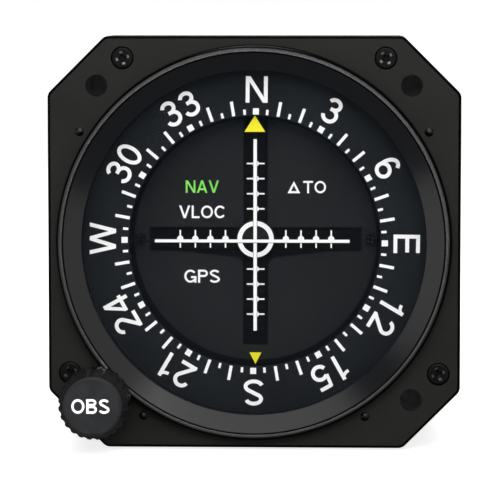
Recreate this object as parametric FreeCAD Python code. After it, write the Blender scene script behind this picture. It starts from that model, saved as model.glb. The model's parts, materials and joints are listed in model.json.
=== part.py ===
"""Course deviation indicator for a standard 3 1/8 inch instrument place, in millimetres.

X runs to the right, Y runs back into the panel and Z runs up, as seen by the pilot.
The origin is the dial's axis on the front face of the flange.
"""
import FreeCAD, Part
import math
import os

Vector = FreeCAD.Vector

# Flange and raised ring of the bezel, sized outwards from the ring
FLANGE_MARGIN = 1.875
CORNER_MARGIN = 5.79
FLANGE_ROUND = 2.0
FLANGE_EDGE = 0.6
FLANGE_THICK = 4.0
BEZEL_WALL = 2.2
BEZEL_CORNER_WALL = 1.0
RING_WALL = 1.9
RING_HEIGHT = 3.0
RING_EDGE = 0.7
RING_LAND = 0.35
GROOVE_WIDTH = 0.3
GROOVE_DEPTH = 0.3
SIGHT_LEDGE = 2.0
SIGHT_LIP = 0.5

# Mounting holes, on the standard circle outside the ring; the knob takes the fourth place
MOUNT_OUTSIDE_RING = 5.05
MOUNT_HOLE_RADIUS = 2.2
MOUNT_HOLE_DEPTH = 9.5
MOUNT_BOSS_WALL = 1.5

# Screws and pins in the flange, placed outside the ring and by angle from the diagonal
BEZEL_SCREW_OUTSIDE_RING = 5.9
BEZEL_SCREW_ANGLE = 9.6
BEZEL_SCREW_RADIUS = 1.3
BEZEL_SCREW_HEAD = 2.2
BEZEL_SCREW_HEAD_THICK = 1.3
BEZEL_SCREW_SUNK = 0.1
BEZEL_SCREW_BOSS = 2.6
BEZEL_SCREW_BOSS_GAP = 0.5
BEZEL_SCREW_GRIP = 4.5
PIN_OUTSIDE_RING = 1.95
PIN_ANGLE = 12.5
PIN_RADIUS = 0.85
PIN_LENGTH = 2.6
PIN_DOME = 0.3

# Glass, its gasket and the ring that holds it
GLASS_PAST_JOURNAL = 1.3
GLASS_THICK = 2.0
GLASS_FRONT = -0.6
GASKET_THICK = 0.5
GASKET_WIDTH = 1.6
RETAINER_THICK = 1.3
RETAINER_WIDTH = 1.9

# Compass card, its gear ring and its bearing, sized inwards from the teeth
JOURNAL_STEP = 0.8
CARD_STEP = 0.2
CARD_WIDTH = 9.7
CARD_THICK = 0.8
CARD_GAP = 0.4
CARRIER_WALL = 1.4
JOURNAL_LENGTH = 2.0
BEARING_WALL = 2.2
THRUST_PAD_RADIUS = 1.2
THRUST_GAP = 0.1

# Gear train from the knob to the card and to the resolver
MODULE = 0.6
CARD_TEETH = 120
PINION_TEETH = 13
IDLER_TEETH = 20
FINE_MODULE = 0.5
FINE_PINION_TEETH = 12
RESOLVER_TEETH = 72
GEAR_FACE = 2.2
FINE_FACE = 2.0
REVERSER_ANGLE = 236.5
RESOLVER_ANGLE = 39.65
PRESSURE_ANGLE = 20.0
ADDENDUM = 0.75
DEDENDUM = 1.0
BACKLASH = 0.12
ARBOR_RADIUS = 1.0

# Knob and its shaft
KNOB_RADIUS = 7.05
KNOB_FACE_RADIUS = 5.8
KNOB_HEIGHT = 9.0
KNOB_TAPER_LENGTH = 3.15
KNOB_STAND = 3.5
KNOB_HUB_RADIUS = 4.8
KNOB_FLUTES = 24
KNOB_FLUTE_RADIUS = 0.6
KNOB_BORE_DEPTH = 8.5
KNOB_EDGE = 0.4
SPOT_FACE_GAP = 0.5
SPOT_FACE_DEPTH = 0.3
SET_SCREW_RADIUS = 0.9
SHAFT_RADIUS = 1.6
CLIP_GROOVE_RADIUS = 1.35
CLIP_WALL = 1.0
BUSHING_WALL = 1.0
BUSHING_BOSS = 3.9

# Needles, seen from the front: each lies across the axis that it swings about
BAR_THICK = 0.4
GS_BAR_WIDTH = 0.72
GS_BAR_LEFT = -20.2
GS_BAR_RIGHT = 19.1
CDI_BAR_WIDTH = 0.82
CDI_BAR_BOTTOM = -18.4
ARM_OUTSIDE_MASK = 1.5
ARM_THICK = 0.8
ARM_TIP = 0.9
ARM_ROOT = 2.0
ARM_ROOT_HALF_LENGTH = 2.0
ARM_PAST_WEIGHT = 0.6
ARM_HUB_RADIUS = 1.8
ARM_HUB_LENGTH = 0.8
GS_SWING = 17.0
CDI_SWING = 12.0
NEEDLE_GAP = 0.3
NEEDLE_STEP = 2.5
NEEDLE_BEHIND_CARD_FACE = 0.5
GS_AXIS_Y = 57.0
CDI_AXIS_Y = 81.4
GS_CENTRE_X = 14.0
GS_SHORT_END = 12.3
CDI_SHORT_END = 14.6
CDI_LEG_TOP = 25.0

# Moving-coil movements, the same for both needles
YOKE_RADIUS = 9.5
YOKE_WALL = 2.0
YOKE_LENGTH = 12.0
CORE_RADIUS = 5.0
CORE_LENGTH = 10.0
CORE_WEB = 3.0
COIL_INNER = 5.4
COIL_OUTER = 7.0
COIL_HALF_INNER = 5.6
COIL_HALF_OUTER = 6.9
COIL_WIDTH = 3.0
STAFF_RADIUS = 0.6
COLLET_RADIUS = 1.1
HAIRSPRING_TURNS = 2.5
HAIRSPRING_THICK = 0.22
HAIRSPRING_WIDTH = 0.6
SPRING_OUTSIDE_YOKE = 3.4
COLLET_PAST_SPRING = 0.4
STUD_RADIUS = 0.5
STUD_PAST_SPRING = 0.3
STUD_GAP = 0.03
WEIGHT_RADIUS = 2.2
WEIGHT_START = 6.0
GS_WEIGHT_LENGTH = 4.6
CDI_WEIGHT_LENGTH = 3.6

# Mask, its pointers and the annunciator behind it
MASK_BEHIND_CARD = 1.7
MASK_THICK = 1.5
WELL_DEPTH = 0.8
WELL_HALF_WIDTH = 2.45
WELL_END_GAP = 0.6
WELL_ROUND = 2.0
WELL_HUB_RADIUS = 4.0
MASK_SCREW_MARGIN = 3.7
MASK_SCREW_HEAD = 1.2
MASK_SCREW_RADIUS = 0.7
MASK_FOOT_WALL = 1.0
INDEX_WIDTH = 4.15
INDEX_HEIGHT = 3.3
INDEX_THICK = 0.5
TAIL_INDEX_WIDTH = 2.4
TAIL_INDEX_HEIGHT = 2.3
TAIL_INDEX_PAST_CARD = 0.1
BRIDGE_TAB_WIDTH = 1.4
TAB_SHORT_OF_INDEX = 0.66
BRIDGE_WIDTH = 1.4
BRIDGE_THICK = 0.8
BRIDGE_FOOT_FROM = 40.0
BRIDGE_FOOT_TO = 44.0
HOUSING_FOOT_GAP = 0.6
HOUSING_WALL = 1.0
HOUSING_DEPTH = 4.8
HOUSING_FLANGE = 2.0
BOARD_THICK = 1.2
LAMP_RADIUS = 1.3
LAMP_LENGTH = 3.0
LAMP_PITCH = 6.3

# Frame plates, posts and tie rods
PLATE_THICK = 2.0
PLATE_SCREW_OUTSIDE_RING = 0.34
PLATE_SCREW_ANGLE = 67.8
PLATE_SCREW_RADIUS = 0.9
PLATE_SCREW_HEAD = 1.5
PLATE_SCREW_LENGTH = 6.0
PLATE_SCREW_BOSS = 1.9
GEAR_PLATE_CORNER_GAP = 1.2
FRAME_SIDE_GAP = 1.2
FRAME_CORNER_GAP = 1.0
POST_SIDE_MARGIN = 4.5
POST_CORNER_MARGIN = 3.0
POST_RADIUS = 2.5
ROD_RADIUS = 1.4
ROD_PAST_PLATE = 2.6
NUT_THICK = 2.2
NUT_RADIUS = 2.7
SLOT_HALF_WIDTH = 1.1
MID_PLATE_GAP = 1.5
BRACKET_THICK = 2.0
BRACKET_WALL = 1.1
BRACKET_PAST_AXIS = 4.0
BRACKET_HALF_WIDTH = 5.0
GS_BRACKET_DEPTH = 8.0
WIRE_WINDOW = (10.0, 24.0, -28.0, -16.0)

# Resolver
RESOLVER_RADIUS = 9.525
RESOLVER_LENGTH = 29.0
RESOLVER_PILOT = 4.0
RESOLVER_SHAFT = 1.5
RESOLVER_GROOVE = 1.5
RESOLVER_GROOVE_DEPTH = 0.8
RESOLVER_EDGE = 1.0
CLAMP_RADIUS = 1.8
CLAMP_OUTSIDE_BODY = 1.08
RESOLVER_GEAR_RIM = 3.96
LIGHTENING_RADIUS = 3.6

# Circuit board at the bottom of the case
BOARD_CASE_GAP = 2.5
BOARD_SIDE_GAP = 3.4
MAIN_BOARD_THICK = 1.6
BOARD_END_GAP = 0.2
LUG_FROM_EDGE = 5.0
LUG_SIZE = 6.0
BOARD_SCREW_RADIUS = 1.1
BOARD_SCREW_HEAD = 1.8
BOARD_SCREW_HEAD_THICK = 1.1
BOARD_SCREW_GRIP = 4.0

# Components on it, placed back and to the right from its front left corner
CHIP_WIDTH = 6.4
CHIP_HEIGHT = 3.4
CHIP_LENGTH = 17.0
SHORT_CHIP_LENGTH = 10.0
CHIPS = ((11.0, 13.1), (11.0, 25.1), (31.0, 15.1))
SHORT_CHIPS = ((31.0, 27.1), (11.0, 37.1))
TRANSFORMER_AT = (15.0, 48.1)
TRANSFORMER_SIZE = (20.0, 12.0, 11.0)
CAPACITOR_RADIUS = 3.1
CAPACITOR_HEIGHT = 9.0
CAPACITORS = ((44.0, 41.1), (44.0, 50.1), (51.0, 35.1), (7.0, 49.1))

# Case, rear cover and connector
CASE_INSET = 1.575
CASE_CORNER_INSET = 0.75
CASE_WALL = 1.0
CASE_TAIL = 4.0
COVER_THICK = 1.5
COVER_EDGE = 0.4
COVER_SCREW_RADIUS = 1.3
COVER_SCREW_HEAD = 2.1
COVER_SCREW_HEAD_THICK = 1.4
COVER_SCREW_EDGE = 0.5
COVER_SCREW_GRIP = 6.5
COVER_LUG_RADIUS = 3.8
COVER_LUG_LENGTH = 8.0
COVER_LUG_SUNK = 0.6
CONNECTOR_Z = -20.0
SHELL_WIDTH = 38.3
SHELL_HEIGHT = 7.9
SHELL_DEPTH = 5.0
SHELL_WALL = 0.4
CONNECTOR_FLANGE_HEIGHT = 12.5
CONNECTOR_FLANGE_THICK = 1.0
CONNECTOR_FLANGE_ROUND = 1.5
SHELL_SLOPE = 10.0
JACK_OUTSIDE_SHELL = 4.37
JACK_MARGIN = 2.98
JACK_ACROSS = 4.8
JACK_LENGTH = 5.0
JACK_STEM_RADIUS = 1.2
JACK_THREAD_RADIUS = 1.1
JACK_STEM_PAST_COVER = 2.0
UPPER_CONTACTS = 13
LOWER_CONTACTS = 12
CONTACT_ROW_RISE = 1.42
CONTACT_PITCH = 2.77
CONTACT_RADIUS = 0.6
CONTACT_DEPTH = 4.2
INSERT_PAST_COVER = 2.5
INSERT_SUNK = 0.2

# Driver recess of every cross-head screw, as shares of the head's radius
RECESS_REACH = 0.66
RECESS_DEPTH = 0.36
RECESS_HALF_WIDTH = 0.14

# How far each driver recess of a group of screws has ended up turned
RECESS_TURNS = (15, 35, 30, 21)

# Named clearances
FIT = 0.05
SEAT = 0.1
PLANE_GAP = 0.2
IDLER_GAP = 0.8

# Radii that follow from the card's teeth: inwards to the mask, outwards to the raised ring
CARD_PITCH = MODULE * CARD_TEETH / 2
JOURNAL_RADIUS = CARD_PITCH - JOURNAL_STEP
CARRIER_INNER = JOURNAL_RADIUS - CARRIER_WALL
CARD_OUTER = JOURNAL_RADIUS - CARD_STEP
CARD_INNER = CARD_OUTER - CARD_WIDTH
MASK_RADIUS = CARD_INNER + MASK_BEHIND_CARD
MASK_SCREW_AT = MASK_RADIUS - MASK_SCREW_MARGIN
WELL_HALF_LENGTH = MASK_SCREW_AT - MASK_SCREW_HEAD - WELL_END_GAP
MASK_FOOT_RADIUS = MASK_SCREW_RADIUS + MASK_FOOT_WALL
HOUSING_RADIUS = MASK_SCREW_AT - MASK_FOOT_RADIUS - HOUSING_FOOT_GAP - HOUSING_FLANGE
ARM_OFFSET = MASK_RADIUS + ARM_OUTSIDE_MASK
GLASS_RADIUS = JOURNAL_RADIUS + GLASS_PAST_JOURNAL
SIGHT_RADIUS = GLASS_RADIUS - SIGHT_LEDGE
BEARING_RADIUS = JOURNAL_RADIUS + BEARING_WALL
RING_RADIUS = BEARING_RADIUS + SEAT + RING_WALL

# Outlines that follow from the raised ring
HALF_SIDE = RING_RADIUS + FLANGE_MARGIN
MOUNT_RADIUS = RING_RADIUS + MOUNT_OUTSIDE_RING
MOUNT_AT = MOUNT_RADIUS / math.sqrt(2)
CORNER_FLAT = MOUNT_RADIUS + CORNER_MARGIN
CASE_HALF = HALF_SIDE - CASE_INSET
CASE_FLAT = CORNER_FLAT - CASE_CORNER_INSET
CASE_INNER_HALF = CASE_HALF - CASE_WALL
CASE_INNER_FLAT = CASE_FLAT - CASE_WALL
COVER_SCREW_DISTANCE = CASE_INNER_FLAT - COVER_LUG_RADIUS + COVER_LUG_SUNK
COVER_SCREW_AT = COVER_SCREW_DISTANCE / math.sqrt(2)
FRAME_HALF = CASE_INNER_HALF - FRAME_SIDE_GAP
FRAME_FLAT = COVER_SCREW_DISTANCE - COVER_LUG_RADIUS - FRAME_CORNER_GAP
POST_X = FRAME_HALF - POST_SIDE_MARGIN
POST_Z = (FRAME_FLAT - POST_CORNER_MARGIN) * math.sqrt(2) - POST_X
MAIN_BOARD_BOTTOM = BOARD_CASE_GAP - CASE_INNER_HALF
MAIN_BOARD_TOP = MAIN_BOARD_BOTTOM + MAIN_BOARD_THICK
MAIN_BOARD_HALF = CASE_INNER_FLAT * math.sqrt(2) + MAIN_BOARD_BOTTOM - BOARD_SIDE_GAP
LUG_X = MAIN_BOARD_HALF - LUG_FROM_EDGE
JACK_X = SHELL_WIDTH / 2 + JACK_OUTSIDE_SHELL
JACKS = ((-JACK_X, CONNECTOR_Z), (JACK_X, CONNECTOR_Z))

# Depths from front to back
GLASS_BACK = GLASS_FRONT + GLASS_THICK
RETAINER_FRONT = GLASS_BACK + GASKET_THICK
RETAINER_BACK = RETAINER_FRONT + RETAINER_THICK
BEARING_FRONT = RETAINER_BACK + SEAT
CARD_FRONT = RETAINER_BACK + CARD_GAP
CARD_BACK = CARD_FRONT + CARD_THICK
TEETH_FRONT = CARD_BACK + JOURNAL_LENGTH
TEETH_BACK = TEETH_FRONT + GEAR_FACE
BEARING_BACK = TEETH_FRONT - PLANE_GAP
IDLER_FRONT = TEETH_BACK + IDLER_GAP
IDLER_BACK = IDLER_FRONT + GEAR_FACE
GEAR_PLATE_FRONT = IDLER_BACK + 3 * PLANE_GAP
GEAR_PLATE_BACK = GEAR_PLATE_FRONT + PLATE_THICK
BEZEL_DEPTH = GEAR_PLATE_BACK + NEEDLE_GAP

# The needles' planes: each one clears the piece in front of it over its whole swing
GS_FRONT = CARD_FRONT + NEEDLE_BEHIND_CARD_FACE
GS_BACK = GS_FRONT + BAR_THICK
GS_ROOT_FRONT = CARD_BACK + BAR_THICK
GS_ROOT_BACK = GS_ROOT_FRONT + BAR_THICK


def swept_back(axis_y, back, half_width, swing):
    """Furthest back that a bar reaches when it swings about an axis behind it."""
    angle = math.radians(swing)
    return axis_y - (axis_y - back) * math.cos(angle) + half_width * math.sin(angle)


CDI_FRONT = swept_back(GS_AXIS_Y, GS_BACK, GS_BAR_WIDTH / 2, GS_SWING) + NEEDLE_GAP
CDI_BACK = CDI_FRONT + BAR_THICK
MASK_FRONT = swept_back(CDI_AXIS_Y, CDI_BACK, CDI_BAR_WIDTH / 2, CDI_SWING) + PLANE_GAP
MASK_BACK = MASK_FRONT + MASK_THICK
HOUSING_BACK = GEAR_PLATE_FRONT + HOUSING_DEPTH
LAMP_BOARD_BACK = HOUSING_BACK + BOARD_THICK
FINE_FRONT = LAMP_BOARD_BACK + IDLER_GAP
FINE_BACK = FINE_FRONT + FINE_FACE
MID_PLATE_FRONT = FINE_BACK + MID_PLATE_GAP + PLANE_GAP
MID_PLATE_BACK = MID_PLATE_FRONT + PLATE_THICK
RESOLVER_BACK = MID_PLATE_BACK + RESOLVER_LENGTH
REAR_PLATE_FRONT = CDI_AXIS_Y + YOKE_RADIUS + BRACKET_WALL
REAR_PLATE_BACK = REAR_PLATE_FRONT + PLATE_THICK
CASE_BACK = REAR_PLATE_BACK + CASE_TAIL
COVER_BACK = CASE_BACK + COVER_THICK
CONNECTOR_FLANGE_BACK = COVER_BACK + CONNECTOR_FLANGE_THICK
SHELL_BACK = CONNECTOR_FLANGE_BACK + SHELL_DEPTH


# Helpers for shapes


def cylinder(radius, y_from, y_to, x=0.0, z=0.0):
    """Round bar along Y."""
    return Part.makeCylinder(radius, y_to - y_from, Vector(x, y_from, z), Vector(0, 1, 0))


def tube(outer, inner, y_from, y_to, x=0.0, z=0.0):
    """Round tube along Y."""
    return cylinder(outer, y_from, y_to, x, z).cut(cylinder(inner, y_from - 1, y_to + 1, x, z))


def box(x_from, x_to, y_from, y_to, z_from, z_to):
    """Block between two corners."""
    corner = Vector(x_from, y_from, z_from)
    return Part.makeBox(x_to - x_from, y_to - y_from, z_to - z_from, corner)


def closed_face(outline, place):
    """Flat face inside an outline. An entry is a point, or a (through, end) pair for an arc."""
    edges = []
    here = outline[0]
    for step in outline[1:]:
        if isinstance(step[0], tuple):
            through, end = step
            edges.append(Part.Arc(place(here), place(through), place(end)).toShape())
        else:
            end = step
            edges.append(Part.makeLine(place(here), place(end)))
        here = end
    if here != outline[0]:
        edges.append(Part.makeLine(place(here), place(outline[0])))
    return Part.Face(Part.Wire(edges))


def prism(outline, y_from, y_to):
    """Outline seen from the front, as (x, z) points, carried back along Y."""
    face = closed_face(outline, lambda point: Vector(point[0], y_from, point[1]))
    return face.extrude(Vector(0, y_to - y_from, 0))


def turned(profile, x=0.0, z=0.0):
    """Profile of (radius, y) points turned about an axis along Y."""
    face = closed_face(profile, lambda point: Vector(x + point[0], point[1], z))
    return face.revolve(Vector(x, 0, z), Vector(0, 1, 0), 360)


def octagon(half_side, corner_flat, y_from, y_to, rounding=0.0):
    """Square with clipped corners, carried back along Y."""
    clipped = corner_flat * math.sqrt(2) - half_side
    corners = []
    for x_sign, z_sign in ((1, 1), (-1, 1), (-1, -1), (1, -1)):
        pair = [(x_sign * half_side, z_sign * clipped), (x_sign * clipped, z_sign * half_side)]
        corners += pair if x_sign * z_sign > 0 else pair[::-1]
    solid = prism(corners, y_from, y_to)
    if rounding:
        along = [edge for edge in solid.Edges if edge.BoundBox.YLength > 0.5 * (y_to - y_from)]
        solid = solid.makeFillet(rounding, along)
    return solid


def polar(radius, degrees):
    """Point (x, z) at an angle from +X towards +Z."""
    return (radius * math.cos(math.radians(degrees)), radius * math.sin(math.radians(degrees)))


def hexagon_at(x, z, radius):
    """Corners of a hexagon about a place."""
    return [(x + across, z + up) for across, up in (polar(radius, 60 * corner) for corner in range(6))]


def both_sides(x, z):
    """A place and its mirror image across the dial."""
    return [(-x, z), (x, z)]


def joined(first, *others):
    """One solid from several that touch."""
    return first.fuse(list(others)).removeSplitter()


def save(node, *solids):
    """Write one named piece, or a group of like pieces."""
    shape = solids[0] if len(solids) == 1 else Part.makeCompound(list(solids))
    shape.exportStep(os.path.join("parts", node + ".step"))


# Places of the fasteners

BEZEL_SCREWS = both_sides(*polar(RING_RADIUS + BEZEL_SCREW_OUTSIDE_RING, 45 + BEZEL_SCREW_ANGLE))
BEZEL_SCREWS += both_sides(*polar(RING_RADIUS + BEZEL_SCREW_OUTSIDE_RING, -45 + BEZEL_SCREW_ANGLE))
BEZEL_PINS = both_sides(*polar(RING_RADIUS + PIN_OUTSIDE_RING, 45 - PIN_ANGLE))
BEZEL_PINS += both_sides(*polar(RING_RADIUS + PIN_OUTSIDE_RING, -45 - PIN_ANGLE))
MOUNT_HOLES = [(-MOUNT_AT, MOUNT_AT), (MOUNT_AT, MOUNT_AT), (MOUNT_AT, -MOUNT_AT)]
PLATE_SCREWS = both_sides(*polar(RING_RADIUS + PLATE_SCREW_OUTSIDE_RING, PLATE_SCREW_ANGLE))
PLATE_SCREWS += both_sides(*polar(RING_RADIUS + PLATE_SCREW_OUTSIDE_RING, -PLATE_SCREW_ANGLE))
MASK_SCREWS = both_sides(MASK_SCREW_AT, 0)
POSTS = both_sides(POST_X, POST_Z) + both_sides(POST_X, -POST_Z)
COVER_SCREWS = both_sides(COVER_SCREW_AT, COVER_SCREW_AT) + both_sides(COVER_SCREW_AT, -COVER_SCREW_AT)
KNOB_AT = (-MOUNT_AT, -MOUNT_AT)


# Gear train: places and tooth phases

PINION_PITCH = MODULE * PINION_TEETH / 2
IDLER_PITCH = MODULE * IDLER_TEETH / 2
FINE_PITCH = FINE_MODULE * FINE_PINION_TEETH / 2
RESOLVER_PITCH = FINE_MODULE * RESOLVER_TEETH / 2


def beside_both(first, second, reach):
    """Point at the same reach from two others, on the side of the dial's axis."""
    middle = ((first[0] + second[0]) / 2, (first[1] + second[1]) / 2)
    across = (second[0] - first[0], second[1] - first[1])
    length = math.hypot(*across)
    height = math.sqrt(reach ** 2 - (length / 2) ** 2)
    points = []
    for side in (1, -1):
        x = middle[0] - side * height * across[1] / length
        z = middle[1] + side * height * across[0] / length
        points.append((x, z))
    return min(points, key=lambda point: math.hypot(*point))


REVERSER_AT = polar(CARD_PITCH + PINION_PITCH, REVERSER_ANGLE)
IDLER_AT = beside_both(REVERSER_AT, KNOB_AT, PINION_PITCH + IDLER_PITCH)
TO_RESOLVER = polar(FINE_PITCH + RESOLVER_PITCH, RESOLVER_ANGLE)
RESOLVER_AT = (IDLER_AT[0] + TO_RESOLVER[0], IDLER_AT[1] + TO_RESOLVER[1])


def meshed_phase(phase, teeth, place, mate_teeth, mate_place):
    """Angle of a tooth on the mate that puts it in mesh with the first gear."""
    line = math.atan2(mate_place[1] - place[1], mate_place[0] - place[0])
    offset = (phase - line) * teeth / (2 * math.pi)
    return line + math.pi - (offset + 0.5) * 2 * math.pi / mate_teeth


CARD_PHASE = 0.0
REVERSER_PHASE = meshed_phase(CARD_PHASE, CARD_TEETH, (0, 0), PINION_TEETH, REVERSER_AT)
IDLER_PHASE = meshed_phase(REVERSER_PHASE, PINION_TEETH, REVERSER_AT, IDLER_TEETH, IDLER_AT)
KNOB_PHASE = meshed_phase(IDLER_PHASE, IDLER_TEETH, IDLER_AT, PINION_TEETH, KNOB_AT)
RESOLVER_PHASE = meshed_phase(0.0, FINE_PINION_TEETH, IDLER_AT, RESOLVER_TEETH, RESOLVER_AT)


def gear(teeth, module, phase, y_from, y_to, place, flank_points):
    """Spur gear with involute stub teeth, thinned for backlash."""
    pressure = math.radians(PRESSURE_ANGLE)
    pitch = module * teeth / 2
    base = pitch * math.cos(pressure)
    tip = pitch + ADDENDUM * module
    root = pitch - DEDENDUM * module
    half_tooth = (math.pi * module / 2 - BACKLASH / 2) / (2 * pitch)
    start = max(base, root)
    flank = []
    for number in range(flank_points):
        radius = start + (tip - start) * number / (flank_points - 1)
        roll = math.acos(base / radius)
        flank.append((radius, half_tooth + math.tan(pressure) - pressure - math.tan(roll) + roll))
    if root < start:
        flank.insert(0, (root, flank[0][1]))
    outline = []
    for tooth in range(teeth):
        centre = phase + 2 * math.pi * tooth / teeth
        rising = [(radius, centre - half) for radius, half in flank]
        falling = [(radius, centre + half) for radius, half in reversed(flank)]
        for radius, angle in rising + falling:
            outline.append((place[0] + radius * math.cos(angle), place[1] + radius * math.sin(angle)))
    return prism(outline, y_from, y_to)


# Bezel group


def make_bezel():
    """Cast bezel: clipped square flange, raised ring with its bevel, walls and bosses behind."""
    block = octagon(HALF_SIDE, CORNER_FLAT, 0, BEZEL_DEPTH, FLANGE_ROUND)
    front_edges = [edge for edge in block.Edges if edge.BoundBox.YMax < SEAT]
    block = block.makeChamfer(FLANGE_EDGE, front_edges)
    inside = octagon(HALF_SIDE - BEZEL_WALL, CORNER_FLAT - BEZEL_CORNER_WALL, FLANGE_THICK, BEZEL_DEPTH + 1)
    shell = block.cut([inside, cylinder(RING_RADIUS - SEAT, -1, FLANGE_THICK + 1)])

    land_inner = RING_RADIUS - RING_EDGE - RING_LAND
    groove_floor = GROOVE_DEPTH - RING_HEIGHT
    inside_edge = RING_EDGE * (1 - math.sqrt(0.5))
    edge_through = (RING_RADIUS - inside_edge, inside_edge - RING_HEIGHT)
    ring = turned([
        (RING_RADIUS, BEARING_BACK),
        (RING_RADIUS, RING_EDGE - RING_HEIGHT),
        (edge_through, (RING_RADIUS - RING_EDGE, -RING_HEIGHT)),
        (land_inner, -RING_HEIGHT),
        (land_inner, groove_floor),
        (land_inner - GROOVE_WIDTH, groove_floor),
        (SIGHT_RADIUS, GLASS_FRONT - SIGHT_LIP),
        (SIGHT_RADIUS, GLASS_FRONT),
        (GLASS_RADIUS + SEAT, GLASS_FRONT),
        (GLASS_RADIUS + SEAT, BEARING_FRONT),
        (BEARING_RADIUS + SEAT, BEARING_FRONT),
        (BEARING_RADIUS + SEAT, BEARING_BACK),
    ])

    bosses = []
    holes = []
    for x, z in MOUNT_HOLES:
        boss_back = MOUNT_HOLE_DEPTH + MOUNT_BOSS_WALL
        bosses.append(cylinder(MOUNT_HOLE_RADIUS + MOUNT_BOSS_WALL, FLANGE_THICK / 2, boss_back, x, z))
        holes.append(cylinder(MOUNT_HOLE_RADIUS, -1, MOUNT_HOLE_DEPTH, x, z))
    for x, z in BEZEL_SCREWS:
        bosses.append(cylinder(BEZEL_SCREW_BOSS, FLANGE_THICK / 2, BEZEL_DEPTH, x, z))
        holes.append(cylinder(BEZEL_SCREW_RADIUS + SEAT, -1, BEZEL_DEPTH + 1, x, z))
        head_back = BEZEL_SCREW_SUNK + BEZEL_SCREW_HEAD_THICK
        holes.append(cylinder(BEZEL_SCREW_HEAD + SEAT, -1, head_back, x, z))
    for x, z in PLATE_SCREWS:
        bosses.append(cylinder(PLATE_SCREW_BOSS, FLANGE_THICK / 2, GEAR_PLATE_FRONT, x, z))
        thread_from = GEAR_PLATE_FRONT + PLATE_THICK - PLATE_SCREW_LENGTH - SEAT
        holes.append(cylinder(PLATE_SCREW_RADIUS + FIT, thread_from, GEAR_PLATE_FRONT + 1, x, z))
    for x, z in BEZEL_PINS:
        holes.append(cylinder(PIN_RADIUS + FIT, -1, PIN_LENGTH, x, z))
    bushing_back = IDLER_FRONT - IDLER_GAP
    bosses.append(cylinder(BUSHING_BOSS, FLANGE_THICK / 2, bushing_back, *KNOB_AT))
    holes.append(cylinder(SHAFT_RADIUS + FIT + BUSHING_WALL + FIT, -1, bushing_back + 1, *KNOB_AT))
    holes.append(cylinder(KNOB_HUB_RADIUS + SPOT_FACE_GAP, -1, SPOT_FACE_DEPTH, *KNOB_AT))
    return joined(shell, ring, *bosses).cut(holes)


def cross_recess(x, z, y_face, inwards, head_radius, turn):
    """Cross-shaped driver recess in a screw head: its wings slope to the middle. Inwards is 1 or -1."""
    reach = head_radius * RECESS_REACH
    half = head_radius * RECESS_HALF_WIDTH
    floor = y_face + inwards * head_radius * RECESS_DEPTH
    outline = [(-reach, y_face), (reach, y_face), (half, floor), (-half, floor)]
    across = closed_face(outline, lambda point: Vector(x + point[0], point[1], z - half))
    upright = closed_face(outline, lambda point: Vector(x - half, point[1], z + point[0]))
    cross = across.extrude(Vector(0, 0, 2 * half)).fuse(upright.extrude(Vector(2 * half, 0, 0)))
    cross.rotate(Vector(x, 0, z), Vector(0, -1, 0), turn)
    return cross


def make_bezel_screws():
    """Four recessed cross-head screws that hold the case to the bezel."""
    screws = []
    for (x, z), turn in zip(BEZEL_SCREWS, RECESS_TURNS):
        head_back = BEZEL_SCREW_SUNK + BEZEL_SCREW_HEAD_THICK
        head = cylinder(BEZEL_SCREW_HEAD, BEZEL_SCREW_SUNK, head_back, x, z)
        rim = [edge for edge in head.Edges if edge.BoundBox.YMax < BEZEL_SCREW_SUNK + FIT]
        head = head.makeFillet(BEZEL_SCREW_HEAD_THICK / 3, rim)
        shank = cylinder(BEZEL_SCREW_RADIUS, head_back - FIT, BEZEL_DEPTH + BEZEL_SCREW_GRIP, x, z)
        recess = cross_recess(x, z, BEZEL_SCREW_SUNK, 1, BEZEL_SCREW_HEAD, turn)
        screws.append(joined(head, shank).cut(recess))
    return screws


def make_bezel_pins():
    """Four small domed pins set in the flange."""
    dome_radius = (PIN_RADIUS ** 2 + PIN_DOME ** 2) / (2 * PIN_DOME)
    half_angle = math.asin(PIN_RADIUS / dome_radius) / 2
    through = (dome_radius * math.sin(half_angle), dome_radius * (1 - math.cos(half_angle)) - PIN_DOME)
    profile = [(0, PIN_LENGTH), (PIN_RADIUS, PIN_LENGTH), (PIN_RADIUS, 0), (through, (0, -PIN_DOME))]
    return [turned(profile, x, z) for x, z in BEZEL_PINS]


def make_glass_group():
    """Flat glass, its gasket and the slotted ring that holds it in the bezel."""
    glass = cylinder(GLASS_RADIUS, GLASS_FRONT, GLASS_BACK)
    gasket = tube(GLASS_RADIUS, GLASS_RADIUS - GASKET_WIDTH, GLASS_BACK, RETAINER_FRONT)
    retainer = tube(GLASS_RADIUS, GLASS_RADIUS - RETAINER_WIDTH, RETAINER_FRONT, RETAINER_BACK)
    notches = []
    for angle in (45, 135, 225, 315):
        x, z = polar(GLASS_RADIUS - RETAINER_WIDTH, angle)
        notch_front = RETAINER_FRONT + RETAINER_THICK / 2
        notches.append(cylinder(RETAINER_WIDTH / 2, notch_front, RETAINER_BACK + 1, x, z))
    save("lens_glass", glass)
    save("lens_gasket", gasket)
    save("lens_retaining_ring", retainer.cut(notches))


# Card group


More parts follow.
